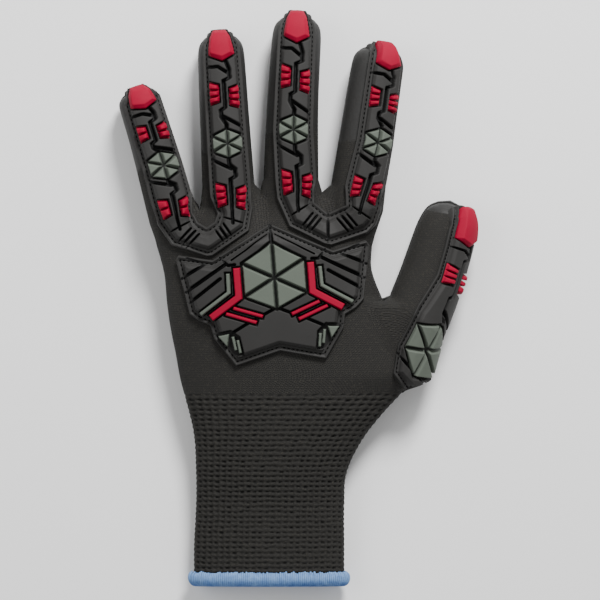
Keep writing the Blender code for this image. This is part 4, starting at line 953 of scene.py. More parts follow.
# Cuff hem
# The end of the cuff is closed by a light blue overlock seam: close loops of thick soft thread wrap over the edge,
# with painted shade in dark blue patches where they turn under it.

HEM_LOOPS = 176
THREAD_WIDTH = 0.00098
HEM_STEPS = 240
# How far the painted shade on the turned-under side reaches up the cuff
TURN_UNDER_SHADE_REACH = 0.0030
# What is left of a thread's depth below the floor, where the cuff's weight presses it flat
PRESSED = 0.02
# Section of the seam: across the wall, outwards, and along the cuff
HEM_SECTION = ((-0.0020, 0.0056), (-0.0027, 0.0042), (-0.0029, 0.0026), (-0.0024, 0.0011), (-0.0012, 0.0003),
               (0.0002, 0.0002), (0.0014, 0.0008), (0.0022, 0.0020), (0.0025, 0.0034), (0.0021, 0.0050),
               (0.0010, 0.0060))


def thread_finish():
    """Light blue thread, with painted shade in dark blue patches where it turns under."""
    material, tree, shader = material_with("overlock thread", 0.8, 0.3)
    link = tree.links.new
    coordinates = object_coordinates(tree)
    split = tree.nodes.new("ShaderNodeSeparateXYZ")
    link(coordinates, split.inputs[0])
    # Painted shade: dark blue patches where the loops turn under the edge
    below = maths(tree, "SUBTRACT", SHIFT_Y + TURN_UNDER_SHADE_REACH, split.outputs["Y"])
    patches = maths(tree, "MULTIPLY_ADD", noise(tree, coordinates, 260.0), 1.6, -0.2, clamp=True)
    under = maths(tree, "MULTIPLY", maths(tree, "MULTIPLY", below, 420.0, clamp=True), patches)
    fibre = noise(tree, coordinates, 1800.0, 2.0)
    lots = maths(tree, "MULTIPLY_ADD", noise(tree, coordinates, 520.0, 1.0), 2.4, -0.7, clamp=True)
    pale = mixed_colour(tree, fibre, (0.115, 0.225, 0.44), (0.215, 0.36, 0.60))
    pale = mixed_colour(tree, maths(tree, "MULTIPLY", lots, 0.55), pale, (0.075, 0.16, 0.36))
    link(mixed_colour(tree, under, pale, (0.045, 0.12, 0.34)), shader.inputs["Base Color"])
    link(bumped(tree, fibre, 0.0002, 0.6), shader.inputs["Normal"])
    return material


def cuff_hem():
    """A padded core, and loops of thread round it placed along its ring."""
    finish = thread_finish()
    ring = [palm_point(0, COLUMNS * number / HEM_STEPS) for number in range(HEM_STEPS)]
    outs = []
    for number, point in enumerate(ring):
        ahead = ring[(number + 1) % HEM_STEPS] - ring[number - 1]
        outs.append(Vector((ahead.z, 0, -ahead.x)).normalized())
    centre = sum(ring, Vector()) / len(ring)
    outs = [out if out.dot(point - centre) > 0 else -out for out, point in zip(outs, ring)]
    # One loop of thread, drawn in its own plane: x across the wall, y along the cuff
    loop_mesh = bpy.data.meshes.new("thread loop")
    loop_mesh.from_pydata([(x, y, 0) for x, y in HEM_SECTION], [(i, i + 1) for i in range(len(HEM_SECTION) - 1)], [])
    loop = bpy.data.objects.new("thread loop", loop_mesh)
    tree, start, end = tree_for("hem loops", (("Loop", "NodeSocketObject", None),
                                              ("Count", "NodeSocketInt", 200),
                                              ("Width", "NodeSocketFloat", 0.0009)))
    link = tree.links.new
    curve = tree.nodes.new("GeometryNodeMeshToCurve")
    link(start.outputs["Geometry"], curve.inputs[0])
    capture = tree.nodes.new("GeometryNodeResampleCurve")
    link(curve.outputs[0], capture.inputs["Curve"])
    link(start.outputs["Count"], capture.inputs["Count"])
    points = tree.nodes.new("GeometryNodeInstanceOnPoints")
    source = tree.nodes.new("GeometryNodeObjectInfo")
    link(start.outputs["Loop"], source.inputs["Object"])
    link(capture.outputs[0], points.inputs["Points"])
    link(source.outputs["Geometry"], points.inputs["Instance"])
    axes = tree.nodes.new("FunctionNodeAxesToRotation")
    axes.primary_axis = "X"
    axes.secondary_axis = "Y"
    link(attribute_of(tree, "out", "FLOAT_VECTOR"), axes.inputs[0])
    axes.inputs[1].default_value = (0, 1, 0)
    link(axes.outputs[0], points.inputs["Rotation"])
    tilt = tree.nodes.new("FunctionNodeRandomValue")
    tilt.data_type = "FLOAT"
    tilt.inputs[2].default_value = 0.93
    tilt.inputs[3].default_value = 1.10
    tilt.inputs["Seed"].default_value = 4
    size = tree.nodes.new("ShaderNodeCombineXYZ")
    link(tilt.outputs[1], size.inputs[0])
    link(tilt.outputs[1], size.inputs[1])
    size.inputs[2].default_value = 1
    link(size.outputs[0], points.inputs["Scale"])
    real = tree.nodes.new("GeometryNodeRealizeInstances")
    link(points.outputs[0], real.inputs[0])
    strand = tree.nodes.new("GeometryNodeMeshToCurve")
    link(real.outputs[0], strand.inputs[0])
    smooth = tree.nodes.new("GeometryNodeCurveSplineType")
    smooth.spline_type = "CATMULL_ROM"
    link(strand.outputs[0], smooth.inputs["Curve"])
    fine = tree.nodes.new("GeometryNodeSetSplineResolution")
    fine.inputs["Resolution"].default_value = 3
    link(smooth.outputs[0], fine.inputs[0])
    profile = tree.nodes.new("GeometryNodeCurvePrimitiveCircle")
    profile.inputs["Resolution"].default_value = 7
    link(maths(tree, "MULTIPLY", start.outputs["Width"], 0.5), profile.inputs["Radius"])
    sweep = tree.nodes.new("GeometryNodeCurveToMesh")
    link(fine.outputs[0], sweep.inputs["Curve"])
    link(profile.outputs[0], sweep.inputs["Profile Curve"])
    sweep.inputs["Fill Caps"].default_value = True
    dress = tree.nodes.new("GeometryNodeSetMaterial")
    dress.inputs["Material"].default_value = finish
    link(sweep.outputs[0], dress.inputs[0])
    link(dress.outputs[0], end.inputs[0])
    path = bpy.data.meshes.new("hem path")
    path.from_pydata([tuple(point) for point in ring], [(i, (i + 1) % HEM_STEPS) for i in range(HEM_STEPS)], [])
    stored(path, "out", [value for out in outs for value in out], "FLOAT_VECTOR")
    for vertex in path.vertices:
        vertex.co.y = SHIFT_Y
    threads = bpy.data.objects.new("hem_threads", path)
    bpy.context.collection.objects.link(threads)
    made_by(threads, tree, Loop=loop, Count=HEM_LOOPS, Width=THREAD_WIDTH)
    threads.data.shade_smooth()
    bpy.data.objects.remove(loop)
    # The weight of the cuff presses its threads flat on the floor
    for vertex in threads.data.vertices:
        vertex.co.z = max(vertex.co.z, vertex.co.z * PRESSED)
    stands_for(threads, "overlock_thread", "cuff_hem")
    # The core that the loops wrap
    points = [Vector((point.x, SHIFT_Y + y, point.z)) + out * x
              for point, out in zip(ring, outs) for x, y in HEM_SECTION]
    points = [Vector((point.x, point.y, max(point.z, point.z * PRESSED))) for point in points]
    count = len(HEM_SECTION)
    faces = []
    for number in range(HEM_STEPS):
        low, high = number * count, (number + 1) % HEM_STEPS * count
        for step in range(count - 1):
            faces.append((low + step, low + step + 1, high + step + 1, high + step))
    core = plain_mesh("hem_core", points, faces, finish)
    stands_for(core, "overlock_thread")


cuff_hem()

# Moulded guards
# Black rubber is moulded flat into thin sheets with raised blocks, one sheet for each pair of fingers,
# one for the thumb and one for the back of the hand. The sheets are glued over the knit and sewn down
# through their edges. Each is a fine grid bent over the knit, and its relief is worked out on the flat.

FLANGE_THICKNESS = 0.0012
BLOCK_HEIGHT = 0.0040
SEAT = 0.0003
SINK = 0.0012
FLANGE_TIP = 0.55
FLANGE_CORNER = 0.60
CAP_SURROUND = ((-1.0, 0.86), (1.0, 0.86), (0.95, 0.955), (0.62, 0.992), (-0.72, 0.992), (-1.05, 0.955))
CAP_OUTLINE = ((-0.60, 0.978), (0.46, 0.978), (0.74, 0.948), (0.86, 0.868), (0.0, 0.832), (-1.0, 0.866),
               (-0.96, 0.948))
RIDGE_INNER = 0.36
RIDGE_OUTER = 0.96
THUMB_RIDGE_SLANT = 0.012
FLANGE_HALF = 0.0096
BODY_HALF = 0.0062
GROOVE = 0.0010
POCKET_GAP = 0.0005
HEXAGON_AT = 0.40
HEXAGON_HALF_WIDTH = 0.0058
HEXAGON_HALF_HEIGHT = 0.0066
CAP_HEIGHT = 0.0052
RIDGE_HEIGHT = 0.0048
PLATE_GROOVE = GROOVE * 1.6
CENTRE_GROOVE = ((0.10, 0.86), (0.38, 0.79), (0.38, 0.745), (0.0, 0.73), (0.0, 0.59), (-0.28, 0.575),
                 (-0.28, 0.54), (0.0, 0.50), (0.0, 0.29), (0.32, 0.265), (0.32, 0.225), (0.0, 0.21),
                 (0.0, -0.02))
CROSS_GROOVES = (
    ((-1.15, 0.805), (-0.30, 0.805), (0.38, 0.765)),
    ((-0.20, 0.545), (1.15, 0.475)),
    ((-1.15, 0.325), (0.10, 0.265)),
)
Cluster = namedtuple("Cluster", "name side start end")
CLUSTERS = (
    Cluster("upper_left", -1, 0.605, 0.725),
    Cluster("upper_right", 1, 0.585, 0.705),
    Cluster("lower_left", -1, 0.065, 0.195),
    Cluster("lower_right", 1, 0.045, 0.175),
)
RIDGES = {"little": 2, "ring": 3, "middle": 3, "index": 3}
# Middle line of each finger's guard: crease, hexagon and tip, as shares of PALM_WIDTH and GLOVE_LENGTH
GUARD_LINES = {
    "little": ((-0.543, 0.625), (-0.618, 0.730), (-0.732, 0.866)),
    "ring": ((-0.297, 0.637), (-0.322, 0.768), (-0.356, 0.966)),
    "middle": ((0.002, 0.658), (-0.020, 0.792), (0.002, 1.000)),
    "index": ((0.288, 0.653), (0.362, 0.770), (0.430, 0.944)),
}
DOME_START = 0.88
DOME_TILT = 48
DOME_BLUNT = 0.8
BLEND_START = 0.002
BLEND_LENGTH = 0.012
ROOM_BESIDE = 0.0122
BLEND_BESIDE = 0.0018
SPAN_RADIUS = 0.004
SPAN_SAMPLES = 8
ROUND_LIFT = 0.5
CELL = 0.00026
LATTICE = 0.0011


def smooth_normal(skin, face, spot):
    """The skin's normal at a spot, blended from the corners of its face."""
    corners = skin.faces[face]
    places = [skin.points[index] for index in corners]
    normal = Vector()
    for number, index in enumerate(corners):
        area = (places[(number + 1) % 3] - spot).cross(places[(number + 2) % 3] - spot).length
        normal += skin.normals[index] * area
    return normal.normalized()


class Drape:
    """Finds where flat points come to lie on the knit, along rays from inside the hand."""

    def __init__(self, skin):
        self.skin = skin
        self.tree = BVHTree.FromPolygons(skin.points, skin.faces)

    def foot(self, origin, direction, lean):
        """The place on the knit under a flat point, and the way in which its relief stands up."""
        direction = direction.normalized()
        spot, _, face, _ = self.tree.ray_cast(origin, direction)
        if spot is None:
            spot, _, face, _ = self.tree.find_nearest(origin)
        far = (spot - origin).dot(direction)
        around = self.depth_around(origin, direction)
        # Spans hollows evenly, and stands a little higher where the knit is strongly rounded
        lift = max(around - far, min((far - around) * ROUND_LIFT, SEAT))
        normal = smooth_normal(self.skin, face, spot)
        return origin + direction * (far + lift), direction.lerp(normal, lean).normalized()

    def depth_around(self, origin, direction):
        """Mean depth of the knit over a small disc."""
        side = direction.orthogonal().normalized()
        up = direction.cross(side)
        total = 0
        for number in range(SPAN_SAMPLES):
            angle = math.tau * number / SPAN_SAMPLES
            off = (side * math.cos(angle) + up * math.sin(angle)) * SPAN_RADIUS
            total += self.tree.ray_cast(origin + off, direction)[3] or 0
        return total / SPAN_SAMPLES


class FingerStrip:
    """Flat coordinates of one finger's guard and the rays that its points are laid along."""

    def __init__(self, finger):
        self.finger = finger
        self.line = [place(x, y) for x, y in GUARD_LINES[finger.name]]
        crease, hexagon, tip = self.line
        self.lower = (hexagon - crease).length
        self.upper = (tip - hexagon).length
        self.along = (hexagon - crease).normalized()
        self.across = Vector((self.along.y, -self.along.x, 0))
        self.half = finger.middle_width * FINGER_WIDTH / 2

    def flat(self, across, along):
        """Flat point from shares of the body's half width and of the guard's length."""
        return self.point(across * BODY_HALF, self.far(along))

    def far(self, along):
        if along < HEXAGON_AT:
            return along / HEXAGON_AT * self.lower
        return self.lower + (along - HEXAGON_AT) / (1 - HEXAGON_AT) * self.upper

    def point(self, u, v):
        return self.line[0] + self.across * u + self.along * v

    def local(self, point):
        off = point - self.line[0]
        return off.dot(self.across), off.dot(self.along)

    def ray(self, point):
        """Where the ray for a flat point starts, and which way it goes."""
        u, v = self.local(point)
        crease, hexagon, tip = self.line
        if v < self.lower:
            centre = crease.lerp(hexagon, v / self.lower)
        else:
            centre = hexagon.lerp(tip, (v - self.lower) / self.upper)
        share = self.share_at(centre)
        held = min(max(share, 0), DOME_START)
        rounds = finger_line(self.finger)
        origin = spline(rounds, held * 2)
        ahead = (spline(rounds, held * 2 + 0.01) - spline(rounds, held * 2 - 0.01)).normalized()
        side = Vector((ahead.y, -ahead.x, 0)).normalized()
        foot = spline(rounds, min(max(share, 0), 1) * 2)
        roll = math.asin(min(max((centre - foot).dot(side) / self.half, -0.9), 0.9))
        dome = max(share - DOME_START, 0) / (1 - DOME_START)
        origin = origin + side * u * dome * DOME_BLUNT
        turn = roll + u / self.half * (1 - dome * DOME_BLUNT)
        tilt = math.radians(DOME_TILT) * dome
        outward = side * math.sin(turn) + Vector((0, 0, math.cos(turn)))
        direction = outward * math.cos(tilt) + ahead * math.sin(tilt)
        weight = smoothstep((v - BLEND_START) / BLEND_LENGTH)
        weight *= smoothstep((ROOM_BESIDE - abs(u)) / BLEND_BESIDE)
        plan = Vector((point.x, point.y, PALM_THICKNESS / 2))
        return plan.lerp(origin, weight), Vector((0, 0, 1)).lerp(direction, weight), 0

    def share_at(self, centre):
        rounds = finger_line(self.finger)
        low, high = -0.4, 1.05
        for _ in range(24):
            middle = (low + high) / 2
            ahead = spline(rounds, middle * 2 + 0.01) - spline(rounds, middle * 2 - 0.01)
            off = centre - spline(rounds, middle * 2)
            if off.x * ahead.x + off.y * ahead.y > 0:
                low = middle
            else:
                high = middle
        return (low + high) / 2


class Lattice:
    """Rays of a flat domain on a coarse lattice, read smoothly in between."""

    def __init__(self, drape, ray, outline):
        xs, ys = [point.x for point in outline], [point.y for point in outline]
        self.low = np.array((min(xs), min(ys))) - LATTICE * 4
        counts = ((np.array((max(xs), max(ys))) + LATTICE * 4 - self.low) / LATTICE).astype(int) + 2
        self.values = np.zeros((*counts, 6))
        x, y = np.meshgrid(*(np.arange(count) * LATTICE + low for count, low in zip(counts, self.low)),
                           indexing="ij")
        near = inside_distance(x, y, outline) > -LATTICE * 3.2
        for i, j in zip(*np.nonzero(near)):
            spot, way = drape.foot(*ray(Vector((x[i, j], y[i, j], 0))))
            self.values[i, j] = (*spot, *way)

    def at(self, x, y):
        """Foot and direction of flat points by cubic blending of the lattice."""
        u, v = (x - self.low[0]) / LATTICE, (y - self.low[1]) / LATTICE
        i, j = np.floor(u).astype(int), np.floor(v).astype(int)
        across, along = blends(u - i), blends(v - j)
        total = np.zeros((len(x), 6))
        for a in range(4):
            for b in range(4):
                total += (across[a] * along[b])[:, None] * self.values[i + a - 1, j + b - 1]
        return total[:, :3], total[:, 3:] / np.linalg.norm(total[:, 3:], axis=1)[:, None]


def blends(share):
    """Weights of four neighbours in a smooth curve through the middle two."""
    return ((-share + 2 * share ** 2 - share ** 3) / 2, (2 - 5 * share ** 2 + 3 * share ** 3) / 2,
            (share + 4 * share ** 2 - 3 * share ** 3) / 2, (share ** 3 - share ** 2) / 2)


def edge_distance(x, y, start, end):
    """Distance of flat points from a straight edge."""
    edge_x, edge_y = end.x - start.x, end.y - start.y
    off_x, off_y = x - start.x, y - start.y
    share = np.clip((off_x * edge_x + off_y * edge_y) / (edge_x ** 2 + edge_y ** 2), 0, 1)
    return np.hypot(off_x - edge_x * share, off_y - edge_y * share)


def inside_distance(x, y, outline):
    """How far flat points lie inside an outline; less than zero outside it."""
    best = np.full(x.shape, 1.0)
    inside = np.zeros(x.shape, bool)
    for start, end in zip(outline, outline[1:] + outline[:1]):
        best = np.minimum(best, edge_distance(x, y, start, end))
        if start.y != end.y:
            reach = (end.x - start.x) * (y - start.y) / (end.y - start.y)
            inside ^= ((start.y > y) != (end.y > y)) & (x - start.x < reach)
    return np.where(inside, best, -best)


def line_distance(x, y, line):
    """Distance of flat points from a line of flat points."""
    return np.min([edge_distance(x, y, start, end) for start, end in zip(line, line[1:])], axis=0)


def ramp(distance, width):
    """Rises from 0 to 1 over a width."""
    return np.clip(distance / width, 0, 1)


def hump(distance, middle, half):
    """A rounded ridge of height 1 along a line at some distance."""
    share = np.clip(1 - np.abs(distance - middle) / half, 0, 1)
    return share * share * (3 - 2 * share)


EDGE_WALL = 0.0003
RIM_AT = 0.00070
RIM_HALF = 0.00070
RIM_RISE = 0.00055
SEAM_AT = 0.0019
SEAM_HALF = 0.00050
SEAM_DEPTH = 0.00050
WALL = 0.00035
WALL_SHARE = 0.55
RAISED_BEVEL = 0.0013
FACET_BEVEL = 0.00055
GROOVE_WALL = 0.00030
GROOVE_FLOOR = 0.0011
# How dark the painted shade in the sewn channel is, and how much of a groove's painted shade goes up its walls
SEAM_SHADE = 0.15
SHADE_FADE = 0.6
# A raised black block: its outline and how wide its sloping edge is
Block = namedtuple("Block", "outline bevel")


def stepped(inward, bevel):
    """Share of a block's height: a steep wall, then a sloping edge."""
    steep = WALL_SHARE * ramp(inward, WALL)
    return steep + (1 - WALL_SHARE) * ramp(inward - WALL, bevel)


def guard_relief(flange, blocks, grooves, pockets, inset=None):
    """A guard's height over the knit: thin flange, rim, sewn channel, blocks and grooves, with painted shade in the
    channel and grooves.
    """
    def relief(x, y):
        edge = inside_distance(x, y, flange)
        height = -SINK + (FLANGE_THICKNESS + SINK) * ramp(edge + EDGE_WALL / 2, EDGE_WALL)
        seam = hump(edge, SEAM_AT, SEAM_HALF)
        height += hump(edge, RIM_AT, RIM_HALF) * RIM_RISE - seam * SEAM_DEPTH
        raised = [(inside_distance(x, y, block.outline), block.bevel) for block in blocks]
        if inset:
            raised.append((edge - inset, RAISED_BEVEL))
        for inward, bevel in raised:
            top = FLANGE_THICKNESS + (BLOCK_HEIGHT - FLANGE_THICKNESS) * stepped(inward, bevel)
            height = np.where(inward > 0, np.maximum(height, top), height)
        # Painted shade in the sewn channel and down in the grooves and pockets
        groove = seam * SEAM_SHADE
        floor = np.minimum(height, GROOVE_FLOOR)
        walls = [(ramp(line_distance(x, y, line) - width / 2, GROOVE_WALL), 1.0) for line, width in grooves]
        walls += [(ramp(-inside_distance(x, y, outline), GROOVE_WALL), 0.55) for outline in pockets]
        for wall, dark in walls:
            cut = floor + (BLOCK_HEIGHT - GROOVE_FLOOR) * wall
            shaded = np.maximum(groove, dark * (1 - wall * SHADE_FADE))
            groove = np.where((cut < height) & (wall < 1), shaded, groove)
            height = np.minimum(height, cut)
        return edge, height, groove
    return relief


def moulded(name, lattice, outline, relief, finish):
    """A moulded piece: a fine grid over its outline, bent over the knit and raised by its relief."""
    xs, ys = [point.x for point in outline], [point.y for point in outline]
    across = np.arange(min(xs) - CELL * 2, max(xs) + CELL * 2, CELL)
    along = np.arange(min(ys) - CELL * 2, max(ys) + CELL * 2, CELL)
    x, y = np.meshgrid(across, along, indexing="ij")
    edge, height, groove = relief(x, y)
    kept = edge > -EDGE_WALL
    cells = kept[:-1, :-1] & kept[1:, :-1] & kept[:-1, 1:] & kept[1:, 1:]
    used = np.zeros(kept.shape, bool)
    for off_x, off_y in ((0, 0), (1, 0), (1, 1), (0, 1)):
        used[off_x:off_x + cells.shape[0], off_y:off_y + cells.shape[1]] |= cells
    number = np.cumsum(used.ravel()).reshape(used.shape) - 1
    foot, way = lattice.at(x[used], y[used])
    points = foot + way * (height[used] + SEAT)[:, None]
    i, j = np.nonzero(cells)
    faces = np.stack((number[i, j], number[i + 1, j], number[i + 1, j + 1], number[i, j + 1]), axis=1)
    piece = plain_mesh(name, points.tolist(), faces.tolist(), finish)
    # The relief's third value is painted shade, kept for the finish
    stored(piece.data, "groove", groove[used])
    return piece


def moulded_finish(name, dark, light, groove_shade_colour, roughness):
    """Moulded rubber: even colour with a fine matt grain, and painted shade near black down in its grooves."""
    material, tree, shader = material_with(name, roughness, 0.15)
    link = tree.links.new
    coordinates = object_coordinates(tree)
    grain = grouped(tree, FINE_GRAIN)
    link(coordinates, grain.inputs["Object"])
    body = mixed_colour(tree, noise(tree, coordinates, 90.0, 3.0), dark, light)
    # Painted shade: near black where the groove attribute says so
    groove = node(tree, "ShaderNodeAttribute", attribute_name="groove").outputs["Fac"]
    link(mixed_colour(tree, groove, body, groove_shade_colour), shader.inputs["Base Color"])
    link(bumped(tree, grain.outputs["Height"], 0.00006, 0.5), shader.inputs["Normal"])
    return material


# The last colour of each is the painted shade in its grooves
BLACK_RUBBER = moulded_finish("black moulded rubber", (0.023, 0.0224, 0.0216), (0.029, 0.0282, 0.0272),
                              (0.0015, 0.0015, 0.0015), 0.60)
RED_RUBBER = moulded_finish("red moulded rubber", (0.240, 0.0001, 0.0185), (0.270, 0.0002, 0.022),
                            (0.02, 0.0003, 0.002), 0.70)
GREY_RUBBER = moulded_finish("grey moulded rubber", (0.082, 0.095, 0.078), (0.094, 0.109, 0.090),
                             (0.004, 0.005, 0.004), 0.58)
DRAPE = Drape(SKIN)
STITCH_PITCH = 0.0021
STITCH_LONG = 0.0013
STITCH_THICK = 0.00062
# How far a stitch may lie off the channel, which leaves none in the corners
SEAM_SLACK = 0.00008


def stitch_tree(finish):
    """Lays one short rounded stitch on each point, along the point's own line."""
    tree, start, end = tree_for("seam stitches", (("Length", "NodeSocketFloat", 0.0012),
                                                  ("Thickness", "NodeSocketFloat", 0.0004)))
    link = tree.links.new
    ball = tree.nodes.new("GeometryNodeMeshUVSphere")
    ball.inputs["Segments"].default_value = 8
    ball.inputs["Rings"].default_value = 5
    ball.inputs["Radius"].default_value = 0.5
    size = tree.nodes.new("ShaderNodeCombineXYZ")
    link(start.outputs["Length"], size.inputs[0])
    link(start.outputs["Thickness"], size.inputs[1])
    link(start.outputs["Thickness"], size.inputs[2])
    axes = tree.nodes.new("FunctionNodeAxesToRotation")
    axes.primary_axis = "X"
    axes.secondary_axis = "Z"
    link(attribute_of(tree, "line", "FLOAT_VECTOR"), axes.inputs[0])
    link(attribute_of(tree, "up", "FLOAT_VECTOR"), axes.inputs[1])
    instances = tree.nodes.new("GeometryNodeInstanceOnPoints")
    link(start.outputs["Geometry"], instances.inputs["Points"])
    link(ball.outputs["Mesh"], instances.inputs["Instance"])
    link(axes.outputs[0], instances.inputs["Rotation"])
    link(size.outputs[0], instances.inputs["Scale"])
    ends_in(tree, end, instances.outputs[0], finish)
    return tree


def black_thread():
    """Dull black sewing thread."""
    material, tree, shader = material_with("black thread", 0.95, 0.02)
    shader.inputs["Base Color"].default_value = (0.0025, 0.0025, 0.0025, 1)
    return material


BLACK_THREAD = black_thread()
STITCHES = stitch_tree(BLACK_THREAD)


def sewn(name, lattice, flange):
    """A seam of short stitches in the channel round a guard."""
    spots, lines = [], []
    for start, end in zip(flange, flange[1:] + flange[:1]):
        step = (end - start).normalized()
        for number in range(int((end - start).length / STITCH_PITCH) + 1):
            for side in (1, -1):
                spots.append(start + step * STITCH_PITCH * (number + 0.5)
                             + Vector((-step.y, step.x, 0)) * SEAM_AT * side)
                lines.append(step)
    x, y = (np.array([spot[axis] for spot in spots]) for axis in (0, 1))
    kept = np.nonzero(np.abs(inside_distance(x, y, flange) - SEAM_AT) < SEAM_SLACK)[0]
    foot, way = lattice.at(x[kept], y[kept])
    steps_x, steps_y = ([lines[i][axis] * CELL for i in kept] for axis in (0, 1))
    ahead, _ = lattice.at(x[kept] + steps_x, y[kept] + steps_y)
    height = SEAT + FLANGE_THICKNESS - SEAM_DEPTH + STITCH_THICK / 4
    mesh = bpy.data.meshes.new(name + " seam")
    mesh.from_pydata((foot + way * height).tolist(), [], [])
    stored(mesh, "up", way.ravel(), "FLOAT_VECTOR")
    stored(mesh, "line", (ahead - foot).ravel(), "FLOAT_VECTOR")
    seam = bpy.data.objects.new(name + "_stitches", mesh)
    bpy.context.collection.objects.link(seam)
    made_by(seam, STITCHES, Length=STITCH_LONG, Thickness=STITCH_THICK)
    seam.data.shade_smooth()
    stands_for(seam, "black_rubber")


def ribbon(points, width):
    """Outline of a band along a line of flat points, mitred at its corners."""
    count = len(points)
    sides = []
    for number, point in enumerate(points):
        before = (point - points[number - 1]).normalized() if number > 0 else None
        after = (points[number + 1] - point).normalized() if number < count - 1 else None
        before = before or after
        after = after or before
        normal = Vector((-(before.y + after.y), before.x + after.x, 0)).normalized()
        reach = width / 2 / max(normal.dot(Vector((-after.y, after.x, 0))), 0.35)
        sides.append((point + normal * reach, point - normal * reach))
    return [left for left, _ in sides] + [right for _, right in reversed(sides)]


def stretched(points, extra):
    """A line of flat points made longer at both ends."""
    first = (points[0] - points[1]).normalized() * extra
    last = (points[-1] - points[-2]).normalized() * extra
    return [points[0] + first, *points[1:-1], points[-1] + last]


def grown(outline, distance):
    """A convex outline, given anticlockwise or clockwise, with each edge moved out by a distance."""
    area = sum(a.x * b.y - b.x * a.y for a, b in zip(outline, outline[1:] + outline[:1]))
    out = math.copysign(1, area)
    result = []
    for before, point, after in zip(outline[-1:] + outline[:-1], outline, outline[1:] + outline[:1]):
        first = (point - before).normalized()
        second = (after - point).normalized()
        normals = [Vector((edge.y, -edge.x, 0)) * out for edge in (first, second)]
        middle = (normals[0] + normals[1]).normalized()
        result.append(point + middle * distance / max(middle.dot(normals[0]), 0.4))
    return result


# Finger guards
# Each guard lies over two fingers and is joined by a bridge of blocks over the knuckles. Along each finger
# its raised body is parted by a zigzag groove and has room for the coloured inserts.

Bridge = namedtuple("Bridge", "name fingers outer inner blocks bars")
BRIDGES = (
    Bridge("guard_little_ring", ("little", "ring"),
           ((-0.578, 0.592), (-0.416, 0.572), (-0.390, 0.573), (-0.222, 0.617)),
           ((-0.370, 0.646), (-0.384, 0.632), (-0.418, 0.623), (-0.456, 0.632), (-0.476, 0.648)),
           (((-0.584, 0.615), (-0.500, 0.632), (-0.487, 0.622), (-0.551, 0.599)),
            ((-0.334, 0.640), (-0.262, 0.632), (-0.296, 0.613), (-0.341, 0.629)),
            ((-0.484, 0.597), (-0.430, 0.617), (-0.392, 0.618), (-0.354, 0.602), (-0.416, 0.585))),
           (((-0.541, 0.594), (-0.480, 0.619)), ((-0.519, 0.590), (-0.459, 0.6145)),
            ((-0.370, 0.622), (-0.330, 0.601)), ((-0.349, 0.627), (-0.310, 0.606)))),
    Bridge("guard_middle_index", ("middle", "index"),
           ((-0.039, 0.624), (0.123, 0.594), (0.155, 0.592), (0.322, 0.613), (0.361, 0.628)),
           ((0.219, 0.661), (0.139, 0.648), (0.080, 0.666)),
           (((-0.019, 0.646), (0.052, 0.663), (0.070, 0.649), (0.024, 0.630)),
            ((0.256, 0.658), (0.329, 0.639), (0.286, 0.628), (0.246, 0.648)),
            ((0.076, 0.618), (0.123, 0.637), (0.137, 0.640), (0.166, 0.636), (0.214, 0.617), (0.141, 0.602))),
           (((0.034, 0.6245), (0.079, 0.6455)), ((0.053, 0.6195), (0.100, 0.6415)),
            ((0.188, 0.642), (0.240, 0.619)), ((0.211, 0.6465), (0.263, 0.6235)))),
)
BAR_WIDTH = 0.0014
BODY_BEVEL = 0.0012
BODY_INSET = 0.0032
BRIDGE_GROOVE = 0.0005
BRIDGE_MIDDLE = {"guard_middle_index": ((0.139, 0.646), (0.140, 0.598))}


def hexagon_outline(strip):
    """Outline of a finger's hexagon."""
    centre = strip.flat(0, HEXAGON_AT)
    return [centre + strip.across * x * HEXAGON_HALF_WIDTH + strip.along * y * HEXAGON_HALF_HEIGHT
            for x, y in ((0, 1), (1, 0.55), (1, -0.55), (0, -1), (-1, -0.55), (-1, 0.55))]


def pair_ray(strips):
    """Rays of a guard over two fingers: each flat point follows the strip that it lies nearer to."""
    def ray(point):
        offs = [abs(strip.local(point)[0]) for strip in strips]
        return strips[offs.index(min(offs))].ray(point)
    return ray


def cluster_outline(strip, cluster):
    """Pocket of a cluster of ridges, shorter on its inner side."""
    side, start, end = cluster.side, cluster.start, cluster.end
    taper = (end - start) * 0.13
    return [strip.flat(side * RIDGE_INNER, start + taper), strip.flat(side * RIDGE_INNER, end - taper),
            strip.flat(side * RIDGE_OUTER, end), strip.flat(side * RIDGE_OUTER, start)]


def bridge_grooves(bridge):
    """Grooves beside the bridge's thin bars, at the fingers' creases and in the bridge's middle."""
    grooves = []
    for bar in bridge.bars:
        start, end = (place(*point) for point in bar)
        step = (end - start).normalized()
        off = Vector((-step.y, step.x, 0)) * (BAR_WIDTH + BRIDGE_GROOVE * 1.6) / 2
        grooves += [([start + off * side, end + off * side], BRIDGE_GROOVE) for side in (1, -1)]
    for block in bridge.blocks[:2]:
        grooves.append((stretched([place(*point) for point in block[:2]], BODY_BEVEL), BRIDGE_GROOVE / 2))
    if bridge.name in BRIDGE_MIDDLE:
        grooves.append(([place(*point) for point in BRIDGE_MIDDLE[bridge.name]], BRIDGE_GROOVE * 1.5))
    return grooves


def pair_flange(bridge, left, right):
    """Outline of the thin sheet under both fingers' guards."""
    half = FLANGE_HALF
    tip, corner = half * FLANGE_TIP, half * FLANGE_CORNER
    ends = [strip.far(1.0) for strip in (left, right)]
    flange = [left.point(-tip, ends[0]), left.point(-half, ends[0] - corner), left.point(-half, left.far(0.05))]
    flange += [place(*point) for point in bridge.outer]
    flange += [right.point(half, right.far(0.05)), right.point(half, ends[1] - corner)]
    flange += [right.point(tip, ends[1]), right.point(-tip, ends[1])]
    flange += [right.point(-half, ends[1] - corner), right.point(-half, right.far(0.12))]
    flange += [place(*point) for point in bridge.inner]
    return flange + [left.point(half, left.far(0.12)), left.point(half, ends[0] - corner),
                     left.point(tip, ends[0])]


